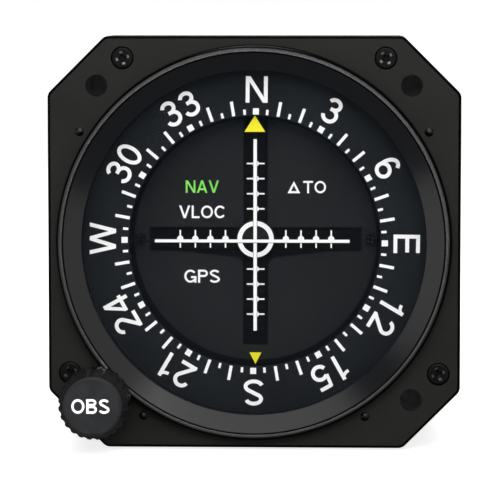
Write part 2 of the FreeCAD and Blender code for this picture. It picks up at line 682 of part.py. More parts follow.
def make_card_group():
    """Compass card on its gear ring, which turns in a bearing ring against three pads."""
    card = tube(CARD_OUTER, CARD_INNER, CARD_FRONT, CARD_BACK)
    teeth = gear(CARD_TEETH, MODULE, CARD_PHASE, TEETH_FRONT, TEETH_BACK, (0, 0), 2)
    journal = cylinder(JOURNAL_RADIUS, CARD_BACK, TEETH_FRONT)
    carrier = joined(teeth, journal).cut(cylinder(CARRIER_INNER, CARD_BACK - 1, TEETH_BACK + 1))
    bearing = tube(BEARING_RADIUS, JOURNAL_RADIUS + FIT, BEARING_FRONT, BEARING_BACK)
    pads = []
    for angle in (30, 150, 270):
        x, z = polar((CARRIER_INNER + CARD_PITCH) / 2, angle)
        pads.append(cylinder(THRUST_PAD_RADIUS, TEETH_BACK + THRUST_GAP, GEAR_PLATE_FRONT, x, z))
    save("compass_card", card)
    save("card_gear_ring", carrier)
    save("card_bearing_ring", bearing)
    save("card_thrust_pads", *pads)


# Knob and gear train


def make_knob():
    """Course knob: fluted skirt, flat face, hub behind and a blind bore for the shaft."""
    front = -KNOB_STAND - KNOB_HEIGHT
    shoulder = front + KNOB_TAPER_LENGTH
    body = turned([
        (0, front),
        (KNOB_FACE_RADIUS - KNOB_EDGE, front),
        (KNOB_FACE_RADIUS, front + KNOB_EDGE),
        (KNOB_RADIUS, shoulder),
        (KNOB_RADIUS, -KNOB_STAND - KNOB_EDGE),
        (KNOB_RADIUS - KNOB_EDGE, -KNOB_STAND),
        (KNOB_HUB_RADIUS, -KNOB_STAND),
        (KNOB_HUB_RADIUS, -PLANE_GAP),
        (0, -PLANE_GAP),
    ], *KNOB_AT)
    cuts = [cylinder(SHAFT_RADIUS + FIT / 2, -PLANE_GAP - KNOB_BORE_DEPTH, 1, *KNOB_AT)]
    for flute in range(KNOB_FLUTES):
        x, z = polar(KNOB_RADIUS + KNOB_FLUTE_RADIUS / 3, 360 * flute / KNOB_FLUTES)
        place = (KNOB_AT[0] + x, KNOB_AT[1] + z)
        cuts.append(cylinder(KNOB_FLUTE_RADIUS, front - 1, -KNOB_STAND + 1, *place))
    for screw in set_screw_shapes(FIT, KNOB_HUB_RADIUS + 1):
        cuts.append(screw)
    return body.cut(cuts)


def set_screw_shapes(gap, reach):
    """Two set screws in the knob's hub, square to each other and to the shaft."""
    middle = -(PLANE_GAP + KNOB_STAND) / 2
    shapes = []
    for direction in (Vector(1, 0, 0), Vector(0, 0, 1)):
        start = Vector(KNOB_AT[0], middle, KNOB_AT[1]) + direction * (SHAFT_RADIUS + FIT)
        shapes.append(Part.makeCylinder(SET_SCREW_RADIUS + gap, reach - SHAFT_RADIUS, start, direction))
    return shapes


def make_knob_group():
    """Knob, set screws, shaft, bushing, clip and pinion."""
    bushing_back = IDLER_FRONT - IDLER_GAP
    bushing_bore = SHAFT_RADIUS + FIT
    bushing = tube(bushing_bore + BUSHING_WALL, bushing_bore, SPOT_FACE_DEPTH, bushing_back, *KNOB_AT)
    clip_from = bushing_back + SEAT
    clip_to = clip_from + IDLER_GAP / 2
    groove = tube(SHAFT_RADIUS + 1, CLIP_GROOVE_RADIUS, clip_from - FIT, clip_to + FIT, *KNOB_AT)
    shaft_front = -PLANE_GAP - KNOB_BORE_DEPTH + SEAT
    shaft = cylinder(SHAFT_RADIUS, shaft_front, GEAR_PLATE_BACK, *KNOB_AT).cut(groove)
    clip = tube(SHAFT_RADIUS + CLIP_WALL, CLIP_GROOVE_RADIUS + FIT, clip_from, clip_to, *KNOB_AT)
    mouth = box(-CLIP_WALL, CLIP_WALL, clip_from - 1, clip_to + 1, 0, SHAFT_RADIUS + 2 * CLIP_WALL)
    mouth.translate(Vector(KNOB_AT[0], 0, KNOB_AT[1]))
    pinion = gear(PINION_TEETH, MODULE, KNOB_PHASE, IDLER_FRONT, IDLER_BACK, KNOB_AT, 4)
    save("obs_knob", make_knob())
    save("obs_knob_set_screws", *set_screw_shapes(0, KNOB_HUB_RADIUS - FIT))
    save("obs_shaft", shaft)
    save("obs_bushing", bushing)
    save("obs_retaining_clip", clip.cut(mouth))
    pinion_bore = cylinder(SHAFT_RADIUS + FIT / 2, IDLER_FRONT - 1, IDLER_BACK + 1, *KNOB_AT)
    save("obs_pinion", pinion.cut(pinion_bore))


def make_idlers():
    """Reversing pinion on its stub, and the idler gear on the arbor that also turns the resolver."""
    reverser = gear(PINION_TEETH, MODULE, REVERSER_PHASE, TEETH_FRONT, IDLER_BACK, REVERSER_AT, 4)
    stub = cylinder(ARBOR_RADIUS, IDLER_BACK - 1, GEAR_PLATE_BACK, *REVERSER_AT)
    idler = gear(IDLER_TEETH, MODULE, IDLER_PHASE, IDLER_FRONT, IDLER_BACK, IDLER_AT, 3)
    idler = idler.cut(cylinder(ARBOR_RADIUS + FIT / 2, IDLER_FRONT - 1, IDLER_BACK + 1, *IDLER_AT))
    arbor = cylinder(ARBOR_RADIUS, IDLER_FRONT, MID_PLATE_BACK - SEAT, *IDLER_AT)
    fine = gear(FINE_PINION_TEETH, FINE_MODULE, 0.0, FINE_FRONT - SEAT, FINE_BACK + SEAT, IDLER_AT, 4)
    save("reversing_pinion", joined(reverser, stub))
    save("idler_gear", idler)
    save("idler_arbor", joined(arbor, fine))


def make_resolver():
    """Resolver body with its pilot, its shaft, the gear on the shaft and three clamps."""
    x, z = RESOLVER_AT
    pilot = cylinder(RESOLVER_PILOT, MID_PLATE_FRONT, MID_PLATE_BACK + 1, x, z)
    body = turned([
        (0, MID_PLATE_BACK),
        (RESOLVER_RADIUS, MID_PLATE_BACK),
        (RESOLVER_RADIUS, MID_PLATE_BACK + RESOLVER_GROOVE),
        (RESOLVER_RADIUS - RESOLVER_GROOVE_DEPTH, MID_PLATE_BACK + RESOLVER_GROOVE),
        (RESOLVER_RADIUS - RESOLVER_GROOVE_DEPTH, MID_PLATE_BACK + 2 * RESOLVER_GROOVE),
        (RESOLVER_RADIUS, MID_PLATE_BACK + 2 * RESOLVER_GROOVE),
        (RESOLVER_RADIUS, RESOLVER_BACK - RESOLVER_EDGE),
        (RESOLVER_RADIUS - RESOLVER_EDGE, RESOLVER_BACK),
        (0, RESOLVER_BACK),
    ], x, z)
    bore_back = MID_PLATE_BACK + RESOLVER_LENGTH / 2
    shaft_bore = cylinder(RESOLVER_SHAFT + FIT, MID_PLATE_FRONT - 1, bore_back, x, z)
    shaft = cylinder(RESOLVER_SHAFT, FINE_FRONT - SEAT, bore_back - SEAT, x, z)
    wheel = gear(RESOLVER_TEETH, FINE_MODULE, RESOLVER_PHASE, FINE_FRONT, FINE_BACK, RESOLVER_AT, 2)
    lightening = []
    for angle in range(30, 360, 60):
        dx, dz = polar(RESOLVER_PITCH - RESOLVER_GEAR_RIM - LIGHTENING_RADIUS, angle)
        lightening.append(cylinder(LIGHTENING_RADIUS, FINE_FRONT - 1, FINE_BACK + 1, x + dx, z + dz))
    shaft_hole = cylinder(RESOLVER_SHAFT + FIT / 2, FINE_FRONT - 1, FINE_BACK + 1, x, z)
    clamps = []
    for angle in (0, 180, 270):
        dx, dz = polar(RESOLVER_RADIUS + CLAMP_OUTSIDE_BODY, angle)
        clamp_back = MID_PLATE_BACK + 2 * RESOLVER_GROOVE - PLANE_GAP * 2
        clamp = cylinder(CLAMP_RADIUS, MID_PLATE_BACK, clamp_back, x + dx, z + dz)
        clamps.append(clamp.cut(body))
    save("resolver_body", joined(body, pilot).cut(shaft_bore))
    save("resolver_shaft", shaft)
    save("resolver_gear", wheel.cut(lightening + [shaft_hole]))
    save("resolver_clamps", *clamps)


# Mask group


def well_outline():
    """Cross-shaped well in the mask, with rounded inner corners on the lower side."""
    half = WELL_HALF_WIDTH
    turn = half + WELL_ROUND
    bend = half + WELL_ROUND * (1 - math.sqrt(0.5))
    top = math.sqrt((MASK_RADIUS + 1) ** 2 - half ** 2)
    return [
        (half, top),
        (half, half),
        (WELL_HALF_LENGTH, half),
        (WELL_HALF_LENGTH, -half),
        (turn, -half),
        ((bend, -bend), (half, -turn)),
        (half, -WELL_HALF_LENGTH),
        (-half, -WELL_HALF_LENGTH),
        (-half, -turn),
        ((-bend, -bend), (-turn, -half)),
        (-WELL_HALF_LENGTH, -half),
        (-WELL_HALF_LENGTH, half),
        (-half, half),
        (-half, top),
    ]


def triangle(base_z, apex_z, width, y_from, y_to):
    """Pointer plate on the dial's centre line."""
    return prism([(-width / 2, base_z), (width / 2, base_z), (0, apex_z)], y_from, y_to)


def make_mask_group():
    """Fixed mask with its well, its screws, the two index triangles and the bridge of the top one."""
    well = prism(well_outline(), MASK_FRONT - 1, MASK_FRONT + WELL_DEPTH)
    well = well.cut(cylinder(WELL_HUB_RADIUS, MASK_FRONT - 2, MASK_FRONT + WELL_DEPTH + 1))
    screws = []
    holes = [well]
    feet = []
    for (x, z), turn in zip(MASK_SCREWS, RECESS_TURNS):
        head_front = MASK_FRONT - MASK_SCREW_RADIUS
        head = cylinder(MASK_SCREW_HEAD, head_front, MASK_FRONT, x, z)
        shank = cylinder(MASK_SCREW_RADIUS, MASK_FRONT - FIT, GEAR_PLATE_BACK, x, z)
        recess = cross_recess(x, z, head_front, 1, MASK_SCREW_HEAD, turn)
        screws.append(joined(head, shank).cut(recess))
        holes.append(cylinder(MASK_SCREW_RADIUS + FIT, MASK_FRONT - 1, GEAR_PLATE_BACK, x, z))
        feet.append(cylinder(MASK_FOOT_RADIUS, MASK_BACK, GEAR_PLATE_FRONT, x, z))
    mask = joined(cylinder(MASK_RADIUS, MASK_FRONT, MASK_BACK), *feet).cut(holes)

    bridge_inner = CARD_INNER + NEEDLE_GAP
    bridge_outer = bridge_inner + BRIDGE_WIDTH
    bridge_back = CDI_FRONT - IDLER_GAP
    bridge_front = bridge_back - BRIDGE_THICK
    arch_from = 90 - BRIDGE_FOOT_TO
    arch_to = 90 + BRIDGE_FOOT_TO
    arch = arc_band(bridge_inner, bridge_outer, arch_from, arch_to, bridge_front, bridge_back)
    legs = []
    for start in (arch_from, 90 + BRIDGE_FOOT_FROM):
        end = start + BRIDGE_FOOT_TO - BRIDGE_FOOT_FROM
        legs.append(arc_band(bridge_inner, bridge_outer, start, end, bridge_back - FIT, MASK_FRONT))
    apex = CARD_INNER
    half = BRIDGE_TAB_WIDTH / 2
    tab_bottom = apex - INDEX_HEIGHT + TAB_SHORT_OF_INDEX
    tab_top = bridge_inner + BRIDGE_WIDTH / 2
    tab = box(-half, half, bridge_front, bridge_back, tab_bottom, tab_top)
    top_index = triangle(apex - INDEX_HEIGHT, apex, INDEX_WIDTH, bridge_front - INDEX_THICK, bridge_front)
    tail = -CARD_INNER - TAIL_INDEX_PAST_CARD
    tail_front = MASK_FRONT - INDEX_THICK
    tail_index = triangle(tail + TAIL_INDEX_HEIGHT, tail, TAIL_INDEX_WIDTH, tail_front, MASK_FRONT)
    save("dial_mask", mask)
    save("mask_screws", *screws)
    save("index_bridge", joined(arch, tab, *legs))
    save("course_index", top_index)
    save("reciprocal_index", tail_index)


def arc_band(inner, outer, degrees_from, degrees_to, y_from, y_to):
    """Part of a flat ring, between two angles from +X towards +Z."""
    middle = (degrees_from + degrees_to) / 2
    return prism([
        polar(inner, degrees_from),
        polar(outer, degrees_from),
        (polar(outer, middle), polar(outer, degrees_to)),
        polar(inner, degrees_to),
        (polar(inner, middle), polar(inner, degrees_from)),
    ], y_from, y_to)


def make_annunciator():
    """Lamp housing behind the mask, divided into four cells, with its lamps on a round board."""
    inner = HOUSING_RADIUS - HOUSING_WALL
    flange = tube(HOUSING_RADIUS + HOUSING_FLANGE, inner, MASK_BACK, GEAR_PLATE_FRONT)
    wall = tube(HOUSING_RADIUS, inner, MASK_BACK, HOUSING_BACK)
    half = HOUSING_WALL / 2
    upright = box(-half, half, MASK_BACK, HOUSING_BACK, -inner - half, inner + half)
    across = box(-inner - half, inner + half, MASK_BACK, HOUSING_BACK, -half, half)
    board = cylinder(HOUSING_RADIUS, HOUSING_BACK, LAMP_BOARD_BACK)
    lamps = []
    for x_sign, z_sign in ((-1, 1), (1, 1), (-1, -1), (1, -1)):
        for step in (1, 2):
            x = x_sign * inner / 2
            z = z_sign * LAMP_PITCH * step
            lamps.append(cylinder(LAMP_RADIUS, HOUSING_BACK - LAMP_LENGTH, HOUSING_BACK, x, z))
    save("annunciator_housing", joined(flange, wall, upright, across))
    save("lamp_board", board, *lamps)


# Needle movements. Each is drawn about its own axis, along Z, with the needle towards -Y.


def onto_gs_axis(shape):
    """Stand a movement on the glideslope axis, which runs from left to right."""
    placed = shape.copy()
    placed.rotate(Vector(0, 0, 0), Vector(0, 1, 0), -90)
    placed.translate(Vector(GS_CENTRE_X, GS_AXIS_Y, 0))
    return placed


def onto_cdi_axis(shape):
    """Stand a movement on the course axis, which runs from bottom to top."""
    placed = shape.copy()
    placed.translate(Vector(0, CDI_AXIS_Y, 0))
    return placed


def upright_cylinder(radius, z_from, z_to, x=0.0, y=0.0):
    """Round bar along Z."""
    return Part.makeCylinder(radius, z_to - z_from, Vector(x, y, z_from))


def hairspring():
    """Flat spiral spring from the collet to the stud, with the stud's clip at its end."""
    pitch = (YOKE_RADIUS - YOKE_WALL - COLLET_RADIUS - FIT) / HAIRSPRING_TURNS
    end_turn = 2 * math.pi * HAIRSPRING_TURNS
    edges = []
    for thickness in (0, HAIRSPRING_THICK):
        points = []
        for step in range(int(HAIRSPRING_TURNS * 10) + 1):
            turn = end_turn * step / int(HAIRSPRING_TURNS * 10)
            radius = COLLET_RADIUS + FIT + thickness + pitch * turn / (2 * math.pi)
            points.append(Vector(radius * math.cos(turn - end_turn), radius * math.sin(turn - end_turn), 0))
        curve = Part.BSplineCurve()
        curve.interpolate(points)
        edges.append(curve.toShape())
    inner, outer = edges
    ends = [Part.makeLine(inner.Vertexes[0].Point, outer.Vertexes[0].Point)]
    ends.append(Part.makeLine(inner.Vertexes[-1].Point, outer.Vertexes[-1].Point))
    face = Part.Face(Part.Wire(Part.__sortEdges__([inner, outer] + ends)))
    return face.extrude(Vector(0, 0, HAIRSPRING_WIDTH))


def make_magnets():
    """The yoke ring and the magnet core on its web, once for each movement."""
    half_yoke = YOKE_LENGTH / 2
    half_core = CORE_LENGTH / 2
    bore = upright_cylinder(YOKE_RADIUS - YOKE_WALL, -YOKE_LENGTH, YOKE_LENGTH)
    yoke = upright_cylinder(YOKE_RADIUS, -half_yoke, half_yoke).cut(bore)
    core = upright_cylinder(CORE_RADIUS, -half_core, half_core)
    web = box(-CORE_WEB / 2, CORE_WEB / 2, -YOKE_RADIUS, YOKE_RADIUS, -CORE_WEB, CORE_WEB).common(bore)
    core = joined(core, web)
    save("movement_yokes", onto_gs_axis(yoke), onto_cdi_axis(yoke))
    save("movement_cores", onto_gs_axis(core), onto_cdi_axis(core))


def make_movement(prefix, onto_axis, arm_at, arm_length, short_end, weight_length):
    """Moving parts of one movement: coil, split staff, arm and weight, with the hairspring."""
    half_yoke = YOKE_LENGTH / 2
    bore = YOKE_RADIUS - YOKE_WALL
    coil = box(-COIL_OUTER, COIL_OUTER, -COIL_WIDTH / 2, COIL_WIDTH / 2, -COIL_HALF_OUTER, COIL_HALF_OUTER)
    window = box(-COIL_INNER, COIL_INNER, -COIL_WIDTH, COIL_WIDTH, -COIL_HALF_INNER, COIL_HALF_INNER)
    coil_edges = [edge for edge in coil.Edges if edge.BoundBox.YLength > COIL_WIDTH / 2]
    coil = coil.makeFillet(COIL_OUTER - COIL_INNER, coil_edges).cut(window)

    long_staff = upright_cylinder(STAFF_RADIUS, COIL_HALF_OUTER, arm_at + ARM_THICK)
    short_staff = upright_cylinder(STAFF_RADIUS, -short_end, -COIL_HALF_OUTER)
    spring_from = -half_yoke - SPRING_OUTSIDE_YOKE
    collet_from = spring_from - COLLET_PAST_SPRING
    collet = upright_cylinder(COLLET_RADIUS, collet_from, -COIL_HALF_OUTER - PLANE_GAP)

    arm_end = WEIGHT_START + weight_length + ARM_PAST_WEIGHT
    outline = [
        (-ARM_TIP / 2, -arm_length),
        (ARM_TIP / 2, -arm_length),
        (ARM_ROOT / 2, -ARM_ROOT_HALF_LENGTH),
        (ARM_ROOT / 2, ARM_ROOT_HALF_LENGTH),
        (ARM_TIP / 2, arm_end),
        (-ARM_TIP / 2, arm_end),
        (-ARM_ROOT / 2, ARM_ROOT_HALF_LENGTH),
        (-ARM_ROOT / 2, -ARM_ROOT_HALF_LENGTH),
    ]
    arm_from = arm_at - ARM_THICK / 2
    arm_face = closed_face(outline, lambda point: Vector(point[0], point[1], arm_from))
    arm = arm_face.extrude(Vector(0, 0, ARM_THICK))
    hub = upright_cylinder(ARM_HUB_RADIUS, arm_from - ARM_HUB_LENGTH, arm_from + ARM_THICK)
    staff_hole = upright_cylinder(STAFF_RADIUS + FIT / 2, arm_from - 1, arm_from + ARM_THICK + 1)
    arm = joined(arm, hub).cut(staff_hole)
    weight_axis = Vector(0, WEIGHT_START, arm_at)
    weight = Part.makeCylinder(WEIGHT_RADIUS, weight_length, weight_axis, Vector(0, 1, 0)).cut(arm)

    stud_at = bore + HAIRSPRING_THICK + STUD_GAP + STUD_RADIUS
    stud = upright_cylinder(STUD_RADIUS, spring_from - STUD_PAST_SPRING, -half_yoke, stud_at)
    save(prefix + "_coil", onto_axis(coil))
    save(prefix + "_staff", onto_axis(long_staff), onto_axis(joined(short_staff, collet)))
    save(prefix + "_arm", onto_axis(arm))
    save(prefix + "_balance_weight", onto_axis(weight))
    spring = hairspring()
    spring.translate(Vector(0, 0, spring_from))
    save(prefix + "_hairspring", onto_axis(spring.cut(stud)), onto_axis(stud))


def make_needles():
    """Glideslope bar from the left, stepped back to its root, and course bar from the top."""
    arm_outside = ARM_OFFSET + ARM_THICK / 2
    bend = GS_BAR_LEFT - NEEDLE_STEP
    outline = [
        (GS_BAR_RIGHT, GS_FRONT),
        (bend, GS_FRONT),
        (bend - (GS_ROOT_FRONT - GS_FRONT), GS_ROOT_FRONT),
        (-arm_outside, GS_ROOT_FRONT),
        (-arm_outside, GS_ROOT_BACK),
        (bend, GS_ROOT_BACK),
        (bend + (GS_ROOT_BACK - GS_BACK), GS_BACK),
        (GS_BAR_RIGHT, GS_BACK),
    ]
    face = closed_face(outline, lambda point: Vector(point[0], point[1], -GS_BAR_WIDTH / 2))
    save("gs_needle_bar", face.extrude(Vector(0, 0, GS_BAR_WIDTH)))
    bar = box(-CDI_BAR_WIDTH / 2, CDI_BAR_WIDTH / 2, CDI_FRONT, CDI_BACK, CDI_BAR_BOTTOM, arm_outside)
    save("cdi_needle_bar", bar)


def make_brackets():
    """U-shaped bracket of each movement, with the two pivots of its staff."""
    x_left = BRACKET_THICK - ARM_OFFSET
    x_right = GS_CENTRE_X + GS_SHORT_END - BRACKET_THICK + 2 * SEAT
    front_of_legs = GS_AXIS_Y + BRACKET_PAST_AXIS
    z_from = RESOLVER_AT[1] + RESOLVER_RADIUS + FRAME_SIDE_GAP + 2 * PLANE_GAP
    z_to = z_from + GS_BRACKET_DEPTH
    left = box(x_left, x_left + BRACKET_THICK, MID_PLATE_BACK, front_of_legs, -BRACKET_PAST_AXIS, z_to)
    right = box(x_right, x_right + BRACKET_THICK, MID_PLATE_BACK, front_of_legs, -BRACKET_PAST_AXIS, z_to)
    base = box(x_left, x_right + BRACKET_THICK, MID_PLATE_BACK, MID_PLATE_BACK + BRACKET_THICK, z_from, z_to)
    x_from = GS_CENTRE_X - BRACKET_PAST_AXIS
    x_to = GS_CENTRE_X + BRACKET_PAST_AXIS
    saddle = box(x_from, x_to, MID_PLATE_BACK, GS_AXIS_Y, z_from, z_to)
    yoke_reach = YOKE_LENGTH / 2 + PLANE_GAP
    around_yoke = onto_gs_axis(upright_cylinder(YOKE_RADIUS + FIT, -yoke_reach, yoke_reach))
    pivots = onto_gs_axis(upright_cylinder(STAFF_RADIUS + FIT, -2 * ARM_OFFSET, 2 * ARM_OFFSET))
    save("gs_bracket", joined(base, left, right, saddle).cut([around_yoke, pivots]))

    half = BRACKET_HALF_WIDTH
    z_top = CDI_LEG_TOP
    z_bottom = BRACKET_THICK / 2 + 2 * SEAT - CDI_SHORT_END
    front = CDI_AXIS_Y - BRACKET_PAST_AXIS
    back_front = REAR_PLATE_FRONT - BRACKET_THICK
    upper = box(-half, half, front, REAR_PLATE_FRONT, z_top - BRACKET_THICK, z_top)
    lower = box(-half, half, front, REAR_PLATE_FRONT, z_bottom - BRACKET_THICK, z_bottom)
    back = box(-half, half, back_front, REAR_PLATE_FRONT, z_bottom - BRACKET_THICK, z_top)
    around_yoke = onto_cdi_axis(upright_cylinder(YOKE_RADIUS + FIT, -yoke_reach, yoke_reach))
    pivots = onto_cdi_axis(upright_cylinder(STAFF_RADIUS + FIT, -2 * ARM_OFFSET, 2 * ARM_OFFSET))
    save("cdi_bracket", joined(back, upper, lower).cut([around_yoke, pivots]))


# Frame


def swing_slot_half(axis_y, plate_front, swing):
    """Half length of the slot that lets an arm swing through a plate."""
    return (axis_y - plate_front) * math.sin(math.radians(swing)) + ARM_ROOT / 2 + NEEDLE_GAP


def arm_slots(plate_front, plate_back):
    """Slots for both needle arms in a plate."""
    inner = ARM_OFFSET - SLOT_HALF_WIDTH
    outer = ARM_OFFSET + SLOT_HALF_WIDTH
    gs_half = swing_slot_half(GS_AXIS_Y, plate_front, GS_SWING)
    cdi_half = swing_slot_half(CDI_AXIS_Y, plate_front, CDI_SWING)
    gs_slot = box(-outer, -inner, plate_front - 1, plate_back + 1, -gs_half, gs_half)
    cdi_slot = box(-cdi_half, cdi_half, plate_front - 1, plate_back + 1, inner, outer)
    return [gs_slot, cdi_slot]


def make_frame():
    """Gear plate on the bezel, mid and rear plates on posts, and the tie rods through them."""
    plate_half = HALF_SIDE - BEZEL_WALL - PLANE_GAP
    plate_flat = CORNER_FLAT - BEZEL_CORNER_WALL - GEAR_PLATE_CORNER_GAP
    gear_plate = octagon(plate_half, plate_flat, GEAR_PLATE_FRONT, GEAR_PLATE_BACK)
    holes = arm_slots(GEAR_PLATE_FRONT, GEAR_PLATE_BACK)
    holes.append(cylinder(HOUSING_RADIUS + PLANE_GAP, GEAR_PLATE_FRONT - 1, GEAR_PLATE_BACK + 1))
    for x, z in BEZEL_SCREWS:
        boss_radius = BEZEL_SCREW_BOSS + BEZEL_SCREW_BOSS_GAP
        holes.append(cylinder(boss_radius, GEAR_PLATE_FRONT - 1, GEAR_PLATE_BACK + 1, x, z))
    for x, z in POSTS:
        holes.append(cylinder(ROD_RADIUS + FIT, GEAR_PLATE_FRONT - 1, GEAR_PLATE_BACK + 1, x, z))
    for x, z in MASK_SCREWS:
        holes.append(cylinder(MASK_SCREW_RADIUS + FIT, GEAR_PLATE_FRONT - 1, GEAR_PLATE_BACK + 1, x, z))
    for x, z in (KNOB_AT, REVERSER_AT, IDLER_AT):
        radius = SHAFT_RADIUS if (x, z) == KNOB_AT else ARBOR_RADIUS
        holes.append(cylinder(radius + FIT, GEAR_PLATE_FRONT - 1, GEAR_PLATE_BACK + 1, x, z))
    screws = []
    for x, z in PLATE_SCREWS:
        head_from = GEAR_PLATE_BACK - (PLATE_SCREW_HEAD - PLATE_SCREW_RADIUS)
        tip = GEAR_PLATE_BACK - PLATE_SCREW_LENGTH
        shapes = []
        for gap in (0, FIT):
            shapes.append(turned([
                (0, tip),
                (PLATE_SCREW_RADIUS + gap, tip),
                (PLATE_SCREW_RADIUS + gap, head_from - gap),
                (PLATE_SCREW_HEAD + gap, GEAR_PLATE_BACK),
                (0, GEAR_PLATE_BACK),
            ], x, z))
        screws.append(shapes[0])
        holes.append(shapes[1])
    save("gear_plate", gear_plate.cut(holes))
    save("frame_screws", *screws, *board_screws())

    mid_plate = octagon(FRAME_HALF, FRAME_FLAT, MID_PLATE_FRONT, MID_PLATE_BACK)
    rear_plate = octagon(FRAME_HALF, FRAME_FLAT, REAR_PLATE_FRONT, REAR_PLATE_BACK)
    mid_holes = arm_slots(MID_PLATE_FRONT, MID_PLATE_BACK)
    mid_holes.append(cylinder(RESOLVER_PILOT + FIT, MID_PLATE_FRONT - 1, MID_PLATE_BACK + 1, *RESOLVER_AT))
    mid_holes.append(cylinder(ARBOR_RADIUS + FIT, MID_PLATE_FRONT - 1, MID_PLATE_BACK + 1, *IDLER_AT))
    x_from, x_to, z_from, z_to = WIRE_WINDOW
    rear_holes = [box(x_from, x_to, REAR_PLATE_FRONT - 1, REAR_PLATE_BACK + 1, z_from, z_to)]
    for x, z in POSTS:
        mid_holes.append(cylinder(ROD_RADIUS + FIT, MID_PLATE_FRONT - 1, MID_PLATE_BACK + 1, x, z))
        rear_holes.append(cylinder(ROD_RADIUS + FIT, REAR_PLATE_FRONT - 1, REAR_PLATE_BACK + 1, x, z))
    below = box(-HALF_SIDE, HALF_SIDE, 0, CASE_BACK, -HALF_SIDE, MAIN_BOARD_TOP)
    mid_lugs = board_lugs(MID_PLATE_BACK - FIT, MID_PLATE_BACK + LUG_SIZE)
    rear_lugs = board_lugs(REAR_PLATE_FRONT - LUG_SIZE, REAR_PLATE_FRONT + FIT)
    save("mid_plate", joined(mid_plate, *mid_lugs).cut(mid_holes + [below] + board_screw_holes()))
    save("rear_plate", joined(rear_plate, *rear_lugs).cut(rear_holes + [below] + board_screw_holes()))

    spacers = []
    rods = []
    nuts = []
    for x, z in POSTS:
        spacers.append(tube(POST_RADIUS, ROD_RADIUS + FIT, GEAR_PLATE_BACK, MID_PLATE_FRONT, x, z))
        spacers.append(tube(POST_RADIUS, ROD_RADIUS + FIT, MID_PLATE_BACK, REAR_PLATE_FRONT, x, z))
        rods.append(cylinder(ROD_RADIUS, GEAR_PLATE_FRONT, REAR_PLATE_BACK + ROD_PAST_PLATE, x, z))
        nut_back = REAR_PLATE_BACK + NUT_THICK
        nut = prism(hexagon_at(x, z, NUT_RADIUS), REAR_PLATE_BACK, nut_back)
        nuts.append(nut.cut(cylinder(ROD_RADIUS + FIT, REAR_PLATE_BACK - 1, nut_back + 1, x, z)))
    save("frame_spacers", *spacers)
    save("tie_rods", *rods, *nuts)


# Board


def board_lugs(y_from, y_to):
    """Two lugs on a frame plate that the board is screwed to."""
    lugs = []
    for side in (-1, 1):
        x_from = side * LUG_X - LUG_SIZE / 2
        lug_top = MAIN_BOARD_TOP + LUG_SIZE
        lugs.append(box(x_from, x_from + LUG_SIZE, y_from, y_to, MAIN_BOARD_TOP, lug_top))
    return lugs


def board_screw_places():
    """Places (x, y) of the four board screws."""
    front = MID_PLATE_BACK + LUG_SIZE / 2
    back = REAR_PLATE_FRONT - LUG_SIZE / 2
    return [(-LUG_X, front), (LUG_X, front), (-LUG_X, back), (LUG_X, back)]


def board_screw_holes():
    """Holes for the board screws in the lugs and the board."""
    bottom = MAIN_BOARD_BOTTOM - 1
    top = MAIN_BOARD_TOP + BOARD_SCREW_GRIP + PLANE_GAP
    return [upright_cylinder(BOARD_SCREW_RADIUS + FIT, bottom, top, x, y) for x, y in board_screw_places()]


def board_screws():
    """Four screws that hold the board up to the lugs."""
    head_bottom = MAIN_BOARD_BOTTOM - BOARD_SCREW_HEAD_THICK
    top = MAIN_BOARD_TOP + BOARD_SCREW_GRIP
    screws = []
    for x, y in board_screw_places():
        head = upright_cylinder(BOARD_SCREW_HEAD, head_bottom, MAIN_BOARD_BOTTOM, x, y)
        screws.append(joined(head, upright_cylinder(BOARD_SCREW_RADIUS, MAIN_BOARD_BOTTOM - FIT, top, x, y)))
    return screws


def make_main_board():
    """Circuit board along the bottom, with its components."""
    x_left = -MAIN_BOARD_HALF
    y_from = MID_PLATE_BACK + BOARD_END_GAP
    y_to = REAR_PLATE_FRONT - BOARD_END_GAP
    board = box(x_left, MAIN_BOARD_HALF, y_from, y_to, MAIN_BOARD_BOTTOM, MAIN_BOARD_TOP)
    sizes = [(place, (CHIP_LENGTH, CHIP_WIDTH, CHIP_HEIGHT)) for place in CHIPS]
    sizes += [(place, (SHORT_CHIP_LENGTH, CHIP_WIDTH, CHIP_HEIGHT)) for place in SHORT_CHIPS]
    sizes.append((TRANSFORMER_AT, TRANSFORMER_SIZE))
    components = []
    for (x, y), (length, width, height) in sizes:
        corner = Vector(x_left + x, y_from + y, MAIN_BOARD_TOP)
        components.append(Part.makeBox(length, width, height, corner))
    can_top = MAIN_BOARD_TOP + CAPACITOR_HEIGHT
    for x, y in CAPACITORS:
        can = upright_cylinder(CAPACITOR_RADIUS, MAIN_BOARD_TOP, can_top, x_left + x, y_from + y)
        components.append(can)
    save("main_board", board.cut(board_screw_holes()))
    save("board_components", *components)


# Case and rear


